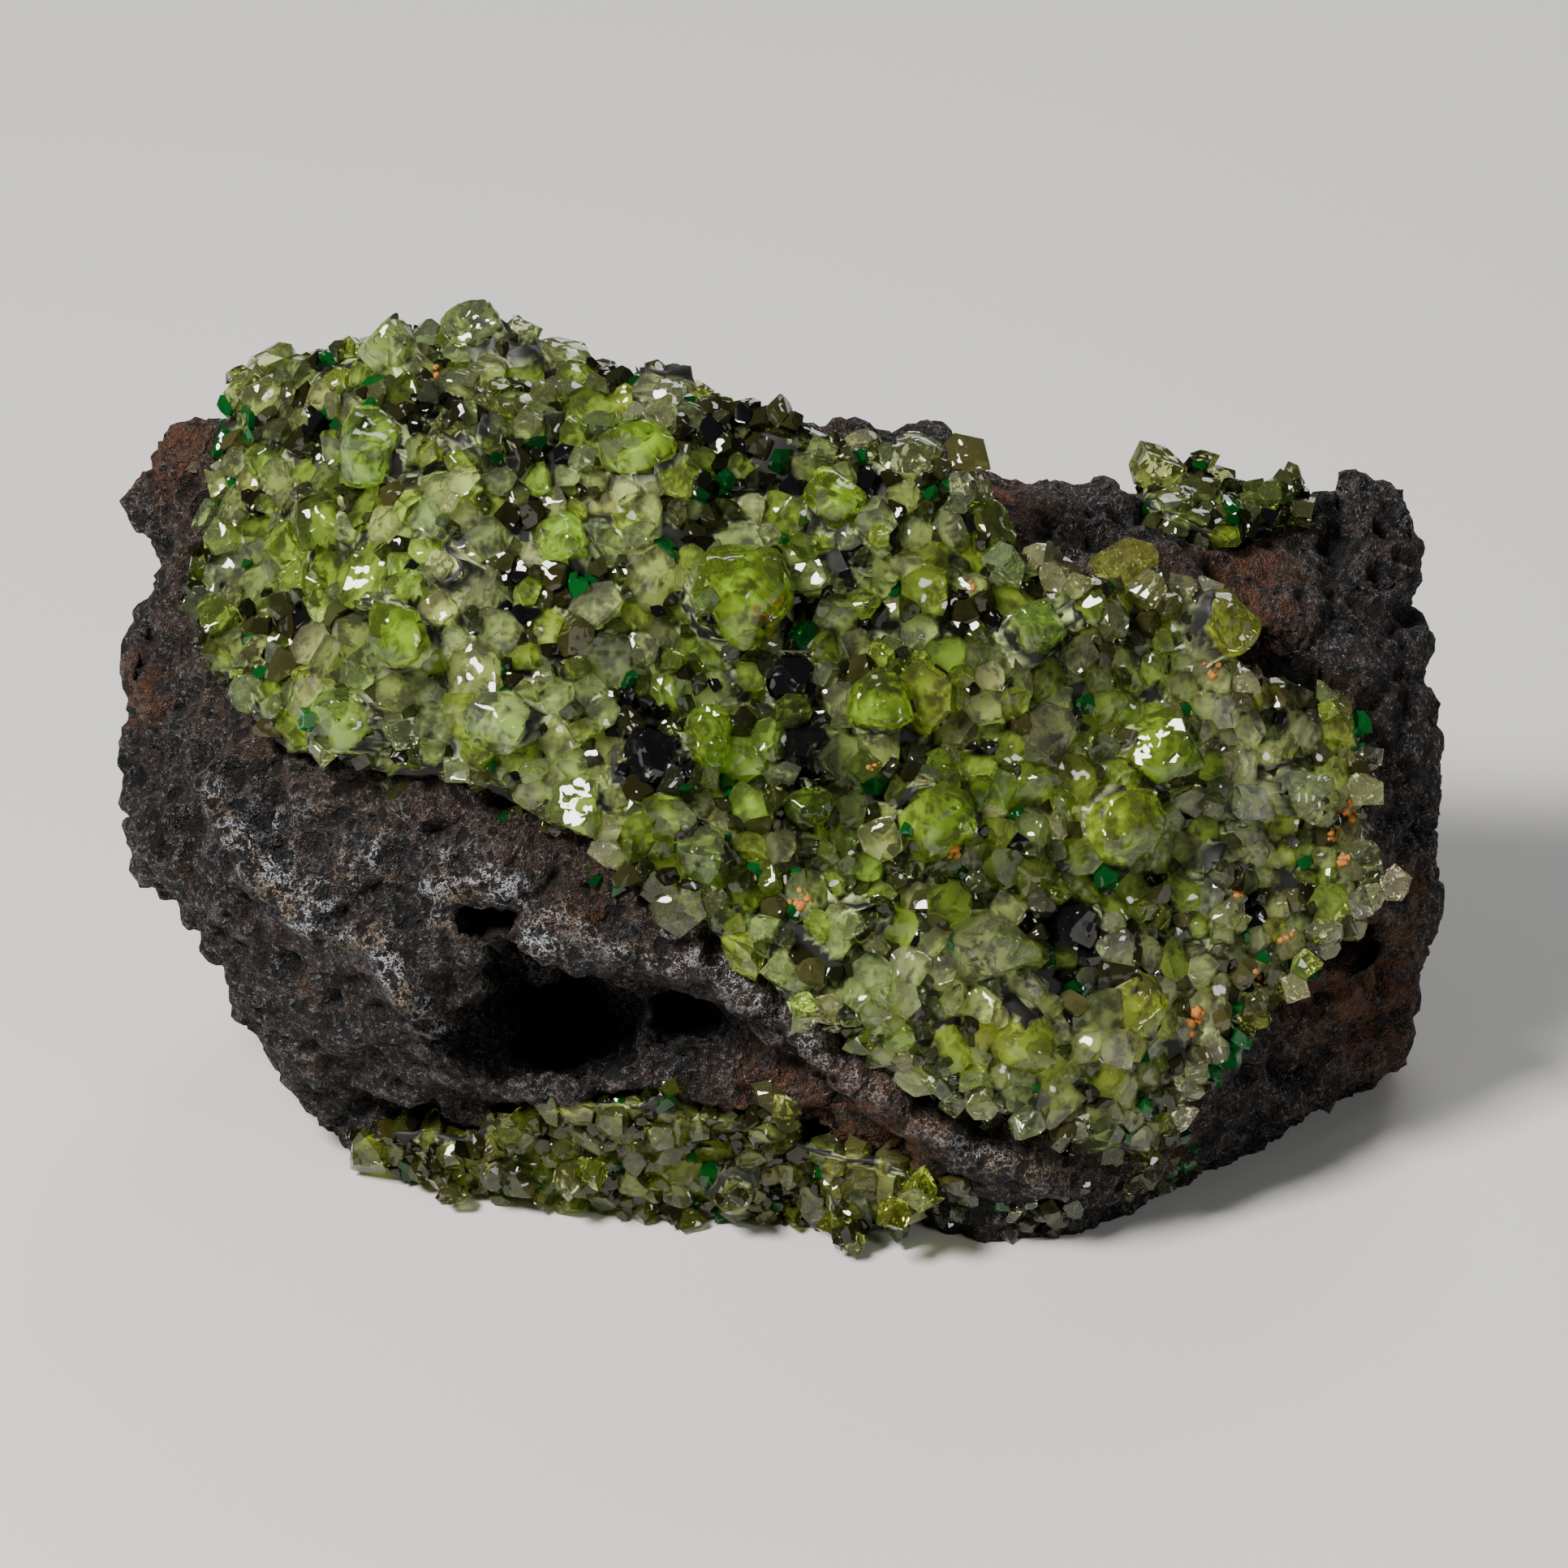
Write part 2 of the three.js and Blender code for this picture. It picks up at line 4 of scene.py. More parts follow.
import bpy
import numpy as np
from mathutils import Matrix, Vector, noise
from mathutils.bvhtree import BVHTree
from mathutils.kdtree import KDTree


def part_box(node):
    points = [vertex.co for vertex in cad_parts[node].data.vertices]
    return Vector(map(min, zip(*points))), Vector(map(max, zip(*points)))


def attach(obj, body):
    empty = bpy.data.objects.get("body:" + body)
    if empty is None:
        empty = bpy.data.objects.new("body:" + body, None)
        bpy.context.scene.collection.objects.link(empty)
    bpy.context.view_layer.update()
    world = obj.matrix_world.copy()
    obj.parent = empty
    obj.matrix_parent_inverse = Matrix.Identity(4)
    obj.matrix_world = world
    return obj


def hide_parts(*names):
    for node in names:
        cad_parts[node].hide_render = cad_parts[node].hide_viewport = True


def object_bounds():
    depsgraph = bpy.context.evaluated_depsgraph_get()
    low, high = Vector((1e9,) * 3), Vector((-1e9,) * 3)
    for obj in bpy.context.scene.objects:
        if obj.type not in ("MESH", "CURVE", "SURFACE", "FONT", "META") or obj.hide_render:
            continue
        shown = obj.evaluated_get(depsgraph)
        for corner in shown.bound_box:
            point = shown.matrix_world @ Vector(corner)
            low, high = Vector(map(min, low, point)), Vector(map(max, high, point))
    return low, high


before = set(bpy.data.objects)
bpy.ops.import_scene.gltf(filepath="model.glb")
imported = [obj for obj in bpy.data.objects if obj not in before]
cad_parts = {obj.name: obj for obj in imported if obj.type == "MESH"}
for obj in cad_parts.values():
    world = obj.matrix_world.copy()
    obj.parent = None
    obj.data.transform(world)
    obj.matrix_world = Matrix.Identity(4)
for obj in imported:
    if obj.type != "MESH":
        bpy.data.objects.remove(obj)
cad_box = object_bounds()

# Basalt matrix
# The real piece is a broken block of dark lava, full of gas bubbles, with a flat face underneath.
# Fresh breaks are purple-grey and gritty, ledges carry a pale crust, and sheltered hollows are rusty.
MM = 0.001
SHOW_LEAN = math.radians(60)
SHOW_MIDDLE = np.array([0.07, 1.9, 17.5]) * MM
SHOW_AXES = np.array(
    [
        [1, 0, 0],
        [0, math.cos(SHOW_LEAN), math.sin(SHOW_LEAN)],
        [0, -math.sin(SHOW_LEAN), math.cos(SHOW_LEAN)],
    ]
)
BASALT_SEED = 41
BASALT_VOXEL = 0.355 * MM
BASALT_ROUNDING = 2
BASALT_RELIEF = [
    # name, kind of noise, size, depth of detail, strength
    ("broken ledges", "VORONOI_F2_F1", 5.4 * MM, 0, 1.5 * MM),
    ("rough break", "ORIGINAL_PERLIN", 2.6 * MM, 5, 1.8 * MM),
    ("bubbly skin", "VORONOI_F1", 1.3 * MM, 1, 0.8 * MM),
    ("grit", "ORIGINAL_PERLIN", 0.8 * MM, 2, 0.5 * MM),
]
# How many percent of the skin the relief leaves inside the smooth form
RAISED_SHARE = 75
# What lies lower than this before the relief is the flat resting face
RESTING_BELOW = 0.5 * MM
PIT_COUNT = 2600
PIT_RADII = (0.35 * MM, 1.1 * MM)
PIT_DEPTH = 0.8
# The higher this power, the rarer the large pits
PIT_RARITY = 5
# Rounds of smoothing that give the surroundings against which hollows and edges are measured
SURROUNDING_ROUNDS = 14
# How strongly hollows are darkened with painted shade, and how strongly raised edges are coloured
# lighter
HOLLOW_SHADE_CONTRAST = 1.8
EDGE_CONTRAST = 2.0
# How far the large lump stains the stone around it, in millimetres
STAIN_REACH = 3.5
# Ledge crests on the show face, in millimetres: points [across, up]
CRESTS = [
    [
        (-29.6, -0.6),
        (-28.3, -3.0),
        (-26.0, -5.8),
        (-23.7, -7.6),
        (-20.6, -8.0),
        (-19.0, -11.6),
        (-17.6, -12.9),
    ],
    [(-17.6, -5.4), (-14.6, -5.2), (-11.4, -6.6), (-8.4, -8.6), (-5.0, -9.4)],
    [(-5.8, -7.6), (-0.2, -12.4), (5.3, -16.3), (9.6, -19.2), (14.0, -20.6)],
]
CREST_HEIGHT = 1.3 * MM
CREST_WIDTH = 0.9
CREST_STRENGTH = 0.8
# A smooth hollow over the lower lump, in millimetres on the show face: its middle and half-size, how
# far out its floor lies and how steeply it rises, how far out it starts, and its end in half-sizes
SMOOTH_HOLLOW = {
    "middle": (2.6, -18.0),
    "half": (3.4, 1.7),
    "floor": 9.5,
    "rise": 0.8,
    "from": 5,
    "end": 1.3,
}
# Places on the show face, in millimetres: across, up, radius. Each ends at PLACE_END times its radius,
# and no stone that lies further back than PLACE_BACK is in one.
PLACE_END = 1.4
PLACE_BACK = -14
CRUST_PLACES = [
    (-27.0, -3.0, 2.4),
    (-24.5, -4.2, 2.6),
    (-24.8, -6.6, 1.8),
    (-20.5, -3.2, 1.8),
    (-17.0, -5.6, 2.4),
    (-21.5, -7.4, 1.8),
    (-19.4, -10.4, 1.4),
    (-12.6, -8.0, 1.6),
]
RUST_PLACES = [
    (-32.6, 17.5, 2.6),
    (-26.5, 21.8, 2.2),
    (-34.0, 4.6, 1.8),
    (-7.4, -3.6, 1.8),
    (-10.5, -6.6, 1.6),
    (-0.6, -17.2, 3.0),
    (2.4, -18.0, 3.4),
    (5.4, -19.4, 2.6),
    (30.5, -11.0, 4.4),
    (24.0, 9.6, 3.2),
    (11.4, 14.4, 2.0),
    (32.0, -6.0, 2.0),
]


def on_show_face(points):
    return (np.asarray(points) - SHOW_MIDDLE) @ SHOW_AXES.T / MM


def from_show_face(across, up, out):
    return SHOW_MIDDLE + np.array([across, up, out]) @ SHOW_AXES * MM


def deselect_all():
    bpy.ops.object.select_all(action="DESELECT")


def new_piece(name, mesh):
    piece = bpy.data.objects.new(name, mesh)
    bpy.context.scene.collection.objects.link(piece)
    deselect_all()
    piece.select_set(True)
    bpy.context.view_layer.objects.active = piece
    return piece


def merge_corners():
    bpy.ops.object.mode_set(mode="EDIT")
    bpy.ops.mesh.select_all(action="SELECT")
    bpy.ops.mesh.remove_doubles(threshold=0.001 * MM)
    bpy.ops.object.mode_set(mode="OBJECT")


def merged_copy(node, name):
    piece = new_piece(name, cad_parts[node].data.copy())
    piece.data.materials.clear()
    merge_corners()
    return piece


def apply_modifier(piece, kind, **settings):
    modifier = piece.modifiers.new(kind.title(), kind)
    for setting, value in settings.items():
        setattr(modifier, setting, value)
    bpy.ops.object.modifier_apply(modifier=modifier.name)


def rows_of_three(items, name):
    values = np.empty(len(items) * 3, np.float32)
    items.foreach_get(name, values)
    return values.reshape(-1, 3).astype(float)


def vertex_array(piece):
    return rows_of_three(piece.data.vertices, "co")


def normal_array(piece):
    return rows_of_three(piece.data.vertex_normals, "vector")


def inside_cad_box(points):
    return np.clip(points, *(np.array(corner) for corner in cad_box))


def set_vertices(piece, points):
    piece.data.vertices.foreach_set("co", inside_cad_box(points).astype(np.float32).ravel())
    piece.data.update()


def add_attribute(piece, name, values):
    attribute = piece.data.attributes.new(name, "FLOAT", "POINT")
    attribute.data.foreach_set("value", np.asarray(values, np.float32))


def near_places(points, places):
    """How strongly each point lies in one of the places on the show face, from 0 to 1."""
    face = on_show_face(points)
    strength = np.zeros(len(face))
    for across, up, radius in places:
        away = np.hypot(face[:, 0] - across, face[:, 1] - up) / radius
        strength = np.maximum(strength, np.clip(PLACE_END - away, 0, 1))
    return strength * (face[:, 2] > PLACE_BACK)


def near_crests(points):
    """How close each point lies to a ledge's crest on the show face: 1 on it, 0 away from it."""
    face = on_show_face(points)
    nearest = np.full(len(face), np.inf)
    for crest in CRESTS:
        for start, end in zip(crest, crest[1:]):
            start, arm = np.array(start), np.subtract(end, start)
            share = np.clip((face[:, :2] - start) @ arm / (arm @ arm), 0, 1)
            away = np.linalg.norm(face[:, :2] - start - share[:, None] * arm, axis=1)
            nearest = np.minimum(nearest, away)
    return np.exp(-((nearest / CREST_WIDTH) ** 2)) * (face[:, 2] > 0)


def filled_hollow(points):
    """The points, with those that lie behind the smooth hollow's floor brought out to it."""
    face = on_show_face(points)
    away = (face[:, :2] - SMOOTH_HOLLOW["middle"]) / SMOOTH_HOLLOW["half"]
    floor = SMOOTH_HOLLOW["floor"] + SMOOTH_HOLLOW["rise"] * (face[:, 1] - SMOOTH_HOLLOW["middle"][1])
    lift = np.where(face[:, 2] > SMOOTH_HOLLOW["from"], np.clip(floor - face[:, 2], 0, None), 0)
    lift *= np.clip(2 * (SMOOTH_HOLLOW["end"] - np.linalg.norm(away, axis=1)), 0, 1)
    return points + lift[:, None] * SHOW_AXES[2] * MM


def hollowness(piece):
    """How deep each vertex lies in a hollow, against its smoothed surroundings, in millimetres."""
    points = vertex_array(piece)
    edges = np.empty(len(piece.data.edges) * 2, np.int64)
    piece.data.edges.foreach_get("vertices", edges)
    first, second = edges.reshape(-1, 2).T
    count = np.bincount(edges, minlength=len(points))[:, None]
    smooth = points.copy()
    for _ in range(SURROUNDING_ROUNDS):
        total = np.empty_like(smooth)
        for axis in range(3):
            total[:, axis] = np.bincount(first, smooth[second, axis], len(points))
            total[:, axis] += np.bincount(second, smooth[first, axis], len(points))
        smooth = total / count
    return ((smooth - points) * normal_array(piece)).sum(axis=1) / MM


def surface_tree(piece):
    return BVHTree.FromObject(piece, bpy.context.evaluated_depsgraph_get())


def stained(points):
    """How strongly each point is stained brown by the large lump close to it."""
    lump = surface_tree(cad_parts["peridot_main"])
    away = np.array([lump.find_nearest(Vector(point))[3] for point in points]) / MM
    return np.clip(1 - away / STAIN_REACH, 0, 1)


def tree_of(points):
    tree = KDTree(len(points))
    for index, point in enumerate(points):
        tree.insert(point, index)
    tree.balance()
    return tree


rng = np.random.default_rng(BASALT_SEED)
basalt = merged_copy("basalt_matrix", "basalt_matrix_stone")
apply_modifier(basalt, "REMESH", mode="VOXEL", voxel_size=BASALT_VOXEL)
apply_modifier(basalt, "SMOOTH", factor=0.5, iterations=BASALT_ROUNDING)
smooth = vertex_array(basalt)
ways_out = normal_array(basalt)
resting = smooth[:, 2] < RESTING_BELOW
for label, basis, size, detail, strength in BASALT_RELIEF:
    relief = bpy.data.textures.new(label, "CLOUDS")
    relief.noise_basis = basis
    relief.noise_scale = size
    relief.noise_depth = detail
    apply_modifier(basalt, "DISPLACE", texture=relief, strength=strength, mid_level=0.5)
points = vertex_array(basalt)
raised = ((points - smooth) * ways_out).sum(axis=1)
points -= ways_out * np.percentile(raised, RAISED_SHARE)
points += ways_out * CREST_HEIGHT * near_crests(points)[:, None]
tree = tree_of(points)
for index in rng.choice(len(points), PIT_COUNT, replace=False):
    radius = PIT_RADII[0] + (PIT_RADII[1] - PIT_RADII[0]) * rng.random() ** PIT_RARITY
    for _, near, distance in tree.find_range(points[index], radius):
        points[near] -= ways_out[index] * PIT_DEPTH * math.sqrt(max(radius**2 - distance**2, 0))
points = filled_hollow(points)
points[resting, 2] = 0
set_vertices(basalt, points)

hollow = hollowness(basalt)
points = vertex_array(basalt)
# The hollow mask darkens the stone as painted shade; the edge mask colours raised edges lighter
add_attribute(basalt, "hollow", np.clip(hollow * HOLLOW_SHADE_CONTRAST, 0, 1))
add_attribute(basalt, "edge", np.clip(-hollow * EDGE_CONTRAST, 0, 1))
crust = near_places(points, CRUST_PLACES) + CREST_STRENGTH * near_crests(points)
add_attribute(basalt, "crust", np.clip(crust, 0, 1))
add_attribute(basalt, "rust", near_places(points, RUST_PLACES))
add_attribute(basalt, "stain", stained(points))
bpy.ops.object.shade_smooth()


class Nodes:
    """The nodes of one material or node group, made and linked in short calls."""

    def __init__(self, tree):
        self.tree = tree

    def add(self, kind, inputs=None, **settings):
        node = self.tree.nodes.new(kind)
        for setting, value in settings.items():
            setattr(node, setting, value)
        for socket, value in (inputs or {}).items():
            self.put(node.inputs[socket], value)
        return node

    def put(self, socket, value):
        if isinstance(value, bpy.types.NodeSocket):
            self.tree.links.new(value, socket)
        else:
            socket.default_value = value

    def place(self):
        return self.add("ShaderNodeTexCoord").outputs["Object"]

    def noise(self, where, size, detail=4, roughness=0.6):
        inputs = {"Vector": where, "Scale": 1 / size, "Detail": detail, "Roughness": roughness}
        return self.add("ShaderNodeTexNoise", inputs).outputs["Fac"]

    def attribute(self, name, output="Fac"):
        return self.add("ShaderNodeAttribute", attribute_name=name).outputs[output]

    def range(self, value, low, high, to_low=0.0, to_high=1.0):
        inputs = {"Value": value, "From Min": low, "From Max": high, "To Min": to_low, "To Max": to_high}
        return self.add("ShaderNodeMapRange", inputs, interpolation_type="SMOOTHSTEP").outputs[0]

    def math(self, operation, a, b=0.5):
        return self.add("ShaderNodeMath", {0: a, 1: b}, operation=operation).outputs[0]

    def vector(self, operation, a, b=(0, 0, 0)):
        return self.add("ShaderNodeVectorMath", {0: a, 1: b}, operation=operation).outputs[0]

    def scaled(self, vector, scale):
        inputs = {0: vector, "Scale": scale}
        return self.add("ShaderNodeVectorMath", inputs, operation="SCALE").outputs[0]

    def mix(self, factor, a, b):
        node = self.add("ShaderNodeMix", data_type="RGBA")
        for socket, value in zip((0, 6, 7), (factor, a, b)):
            self.put(node.inputs[socket], value)
        return node.outputs[2]

    def layer(self, colour, mask, strength, top):
        return self.mix(self.math("MULTIPLY", mask, strength), colour, top)

    def bump(self, shader, height, distance, strength=1.0):
        inputs = {"Height": height, "Distance": distance, "Strength": strength}
        self.put(shader.inputs["Normal"], self.add("ShaderNodeBump", inputs).outputs[0])


def rgb(red, green, blue):
    return (red, green, blue, 1.0)


STONE = {
    "dark grain": rgb(0.004, 0.0036, 0.004),
    "light grain": rgb(0.066, 0.059, 0.06),
    "blotch": rgb(0.008, 0.008, 0.009),
    "warm patch": rgb(0.075, 0.038, 0.02),
    "speck": rgb(0.24, 0.225, 0.22),
    "lighter raised edge": rgb(0.15, 0.135, 0.125),
    "silvery crust": rgb(0.62, 0.65, 0.7),
    "tan crust": rgb(0.4, 0.29, 0.18),
    # The near black of the painted shade in pits and hollows
    "shade": rgb(0.003, 0.003, 0.003),
    "rust": rgb(0.15, 0.058, 0.026),
}
WIDE_BUBBLES = 1.1 * MM
FINE_BUBBLES = 0.5 * MM


def new_group(name, inputs, output, output_kind="NodeSocketFloat"):
    group = bpy.data.node_groups.new(name, "ShaderNodeTree")
    for socket, kind in inputs.items():
        group.interface.new_socket(socket, in_out="INPUT", socket_type=kind)
    group.interface.new_socket(output, in_out="OUTPUT", socket_type=output_kind)
    nodes = Nodes(group)
    return group, nodes, nodes.add("NodeGroupInput").outputs


def new_material(name, **principled):
    material = bpy.data.materials.new(name)
    material.use_nodes = True
    shader = material.node_tree.nodes["Principled BSDF"]
    for socket, value in principled.items():
        shader.inputs[socket.replace("_", " ")].default_value = value
    return material, Nodes(material.node_tree), shader


def bubble_group():
    """Small uneven bubbles: 1 inside one, 0 outside."""
    group, nodes, given = new_group(
        "small bubbles", {"Vector": "NodeSocketVector", "Spacing": "NodeSocketFloat"}, "Bubble"
    )
    fineness = nodes.math("DIVIDE", 1.0, given["Spacing"])
    inputs = {"Vector": given["Vector"], "Scale": fineness, "Detail": 0.0}
    swirl = nodes.add("ShaderNodeTexNoise", inputs).outputs["Color"]
    bent = nodes.vector("ADD", given["Vector"], nodes.scaled(swirl, given["Spacing"]))
    cells = nodes.add("ShaderNodeTexVoronoi", {"Vector": bent, "Scale": fineness})
    chance = nodes.add("ShaderNodeSeparateColor", {"Color": cells.outputs["Color"]}).outputs[0]
    reach = nodes.range(chance, 0.2, 1.0, 0.0, 0.55)
    inside = nodes.math("SUBTRACT", reach, cells.outputs["Distance"])
    nodes.add("NodeGroupOutput", {"Bubble": nodes.range(inside, 0.0, 0.12)})
    return group


def basalt_material():
    """Layered: gritty stone, blotches, specks, lighter edges, crust, painted shade in pits and hollows,
    rust.
    """
    material, nodes, shader = new_material("dark bubbly basalt", IOR=1.4)
    where = nodes.place()
    bubbles = bubble_group()
    pits = [nodes.add("ShaderNodeGroup", node_tree=bubbles) for _ in range(2)]
    for pit, spacing in zip(pits, (WIDE_BUBBLES, FINE_BUBBLES)):
        nodes.put(pit.inputs["Vector"], where)
        nodes.put(pit.inputs["Spacing"], spacing)
    pit_shade = nodes.math("MAXIMUM", pits[0].outputs[0], pits[1].outputs[0])
    grain = nodes.noise(where, 0.5 * MM, 3, 0.85)
    fresh = nodes.mix(nodes.range(grain, 0.45, 0.6), STONE["dark grain"], STONE["light grain"])
    blotches = nodes.range(nodes.noise(where, 2.5 * MM, 2), 0.45, 0.6)
    fresh = nodes.layer(fresh, blotches, 0.6, STONE["blotch"])
    stain = nodes.math("MULTIPLY", nodes.attribute("stain"), 0.25)
    warm = nodes.range(nodes.math("ADD", nodes.noise(where, 1.4 * MM, 4, 0.75), stain), 0.48, 0.6)
    colour = nodes.layer(fresh, warm, 0.5, STONE["warm patch"])
    specks = nodes.range(nodes.noise(where, 0.3 * MM, 2, 0.85), 0.58, 0.62)
    colour = nodes.layer(colour, specks, 0.7, STONE["speck"])
    # Raised edges are coloured lighter
    lighter_edges = nodes.math("MULTIPLY", nodes.range(grain, 0.5, 0.58), nodes.attribute("edge"))
    colour = nodes.layer(colour, lighter_edges, 0.5, STONE["lighter raised edge"])
    threads = nodes.math("SUBTRACT", nodes.noise(where, 0.9 * MM, 3, 0.75), 0.5)
    threads = nodes.range(nodes.math("ABSOLUTE", threads), 0.04, 0.01)
    crust = nodes.math("MULTIPLY", nodes.attribute("crust"), threads)
    raised = nodes.range(nodes.attribute("edge"), 0, 0.5, 0.2, 1)
    crust = nodes.math("MULTIPLY", crust, raised)
    tarnish = nodes.range(nodes.noise(where, 2.2 * MM, 1), 0.42, 0.62)
    tarnish = nodes.mix(tarnish, STONE["silvery crust"], STONE["tan crust"])
    colour = nodes.layer(colour, crust, 0.85, tarnish)
    # Painted shade: pits and hollows are darkened to near black
    shade = nodes.math("MAXIMUM", pit_shade, nodes.attribute("hollow"))
    colour = nodes.layer(colour, shade, 0.9, STONE["shade"])
    patches = nodes.range(nodes.noise(where, 1.2 * MM, 3, 0.75), 0.4, 0.6)
    rust = nodes.math("MULTIPLY", nodes.attribute("rust"), patches)
    colour = nodes.layer(colour, rust, 0.85, STONE["rust"])
    nodes.put(shader.inputs["Base Color"], colour)
    nodes.put(shader.inputs["Roughness"], nodes.range(specks, 0, 1, 0.85, 0.3))
    height = nodes.math("SUBTRACT", nodes.math("MULTIPLY", grain, 4.0), pits[0].outputs[0])
    nodes.bump(shader, height, 0.5 * MM)
    return material


basalt.data.materials.append(basalt_material())
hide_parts("basalt_matrix")
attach(basalt, "root")

# Peridot lumps
# Each lump is granular olivine from the mantle: glassy grains a millimetre or two across, grown
# together in a tight mosaic with a few large clear crystals, green diopside and brown-stained grains.
GRAIN_SEED = 17
# The most grains that a lump may have
MOST_GRAINS = 9000
# How near two grains' middles may come, as a share of their radii together
CLOSENESS = 0.62
# Inside each lump: how finely it is meshed, how far it is sunk, at most and as a share of its depth,
# where the depth is measured from, and how far over it a grain still covers it
CORE_VOXEL = 0.45 * MM
CORE_SINK = 1.3 * MM
CORE_SINK_SHARE = 0.6
CORE_SKIN = 0.2 * MM
COVER_REACH = 3 * MM
# Small grains: how their sizes vary, and how far they are sunk, as shares of a grain's radius
SIZE_SPREAD = (0.85, 1.2)
HALF_SPREAD = (0.7, 1.35)
SINK_SPREAD = (0.4, 0.9)
SINK_ON_STEEP = 0.6
SINK_IN_GAPS = 0.5
SINK_ON_SIDES = 0.35
# Where a place is steep against the whole lump's form, and where it turns away from the show side
STEEP = 0.4
SIDEWAYS = 0.35
# The largest radius of a grain in some places, in millimetres
LARGEST_IN_FINE_PART = 1.1
LARGEST_ON_STEEP = 0.9
LARGEST_IN_DARK_PATCH = 0.8
# Small grains' faces: those that meet neighbours, an uneven box, broken faces outside, and chips.
# Distances from the middle are shares of the grain's size, at least NEAREST_MEETING for neighbours.
NEIGHBOURS = 9
NEAREST_MEETING = 0.2
GRAIN_OVERLAP = 0.01 * MM
BOX_REACH = (0.75, 1.15)
BROKEN_FACES = 3
BROKEN_SPREAD = (0.3, 1.2)
BROKEN_REACH = (0.5, 0.95)
CHIPS = 5
CHIP_REACH = (0.7, 1.15)
# A face narrower than this, in millimetres, isn't made
NARROWEST_FACE = 0.003
TOLERANCE = 1e-6
# How much a CAD triangle faces outward, at least, to be an outer one; and what keeps a triangle with
# no area from dividing by zero
FACING_OUT = 0.05
NO_AREA = 1e-15
# Large crystals: depth and sink as shares of their size, their broken faces, how crisp the edges
# between them are, and waves on the faces
LARGE_DEPTH = 0.9
LARGE_SINK = 0.8
LARGE_GROWTH = 1.05
LARGE_NEIGHBOURS = 24
LARGE_CUTS = 16
LARGE_CUT_REACH = (0.6, 0.98)
LARGE_FULLNESS = 1.12
EDGE_CRISPNESS = 30
WAVE_FINENESS = 2.6
WAVE_DEPTH = 0.07
# Each crystal takes its waves from its own random place in the noise, this far out at most
WAVE_OFFSET = 50
# Edges flatter than this are shaded soft: on small grains, and on large crystals
SOFT_EDGES = (math.radians(36), math.radians(24))
# Minerals in the lumps, with their colours
OLIVINE = "pale olivine"
GREEN_OLIVINE = "green olivine"
DIOPSIDE = "green diopside"
STAINED = "stained grains"
BLACK = "black grains"
LARGE = "large olivine"
GRAIN_COLOURS = {
    OLIVINE: (0.78, 0.87, 0.42),
    GREEN_OLIVINE: (0.66, 0.84, 0.17),
    DIOPSIDE: (0.01, 0.2, 0.03),
    STAINED: (0.1, 0.1, 0.03),
    BLACK: (0.004, 0.004, 0.005),
    LARGE: (0.66, 0.88, 0.13),
}
# The grains get lighter towards the right, in shares a millimetre, and hazier from one place on:
# the haze's red, green and blue, where it starts, and how far on it is full, in millimetres
MIDDLE_LIGHT = 1.04
LIGHT_RISE = 0.0065
HAZE = (0.07, 0, 0.14)
HAZE_FROM = 8
HAZE_WIDTH = 12
# Some olivine grains are nearly colourless: the higher the power, the rarer
COLOURLESS = (0.92, 0.94, 0.68)
COLOURLESS_RARITY = {OLIVINE: 3, LARGE: 5}
# How light a grain is, by chance and where it lies, and how much its colour warms or cools
LIGHT_SPREAD = (0.65, 1.15)
LIGHT_IN_CLUSTERS = 0.5
CLUSTER_RANGE = (-0.5, 0.4)
# Painted shade: small grains deep in the gaps between the others are darkened to this share
PAINTED_SHADE_IN_GAPS = 0.25
LIGHT_IN_GREEN_PART = 0.75
# Grains in the dark patches are darker, partly as painted shade
DARK_PATCH_TONE_AND_SHADE = 0.4
DARKEST = 0.003
WARMTH = 0.05
WARMER = (1, 0, -0.6)
CLEAR_KINDS = (OLIVINE, GREEN_OLIVINE, LARGE)
# Diopside and black grains are smaller than the first radius, and grains in the gaps smaller than
# the second, in millimetres
LARGEST_DARK_GRAIN = 0.7
GAP_GRAIN = 0.62
# The share of each mineral among the small grains, where nothing changes it
COMMON_SHARES = {OLIVINE: 0.62, GREEN_OLIVINE: 0.26, DIOPSIDE: 0.01, STAINED: 0.06, BLACK: 0.004}
# What is added to the shares in some places
ADDED_SHARES = {
    "diopside cluster": {DIOPSIDE: 0.6},
    "stained cluster": {STAINED: 0.5, BLACK: 0.1},
    "fine part": {OLIVINE: 0.8},
    "green part": {GREEN_OLIVINE: 0.7, STAINED: 0.12},
    "lower lump": {GREEN_OLIVINE: 0.7, DIOPSIDE: 0.12, STAINED: 0.15},
    "upper left rim": {DIOPSIDE: 0.04, STAINED: 0.1},
    "dark patch": {STAINED: 1.1, DIOPSIDE: 0.4, BLACK: 0.6},
    "gap": {STAINED: 0.35, BLACK: 0.12},
}
# How many times more diopside there is in the gaps, and how much of the stained share larger grains
# keep, outside the dark patches and in them
DIOPSIDE_IN_GAPS = 2
STAINED_AND_LARGER = (0.15, 0.7)
# Minerals gather in clusters of this size. Each kind of cluster has its own offset in the noise, and
# a place is in one where the noise is over this value.
CLUSTER_SIZE = 3.2 * MM
DIOPSIDE_CLUSTERS = (0, 0.2)
CRUMB_CLUSTERS = (20, 0.05)
STAINED_CLUSTERS = (40, 0.28)
# The offset of the clusters of lighter and darker grains
LIGHT_CLUSTERS = 80
SMALL_GAPS = 420
SMALL_GAP_RADII = (0.2 * MM, 0.6 * MM)
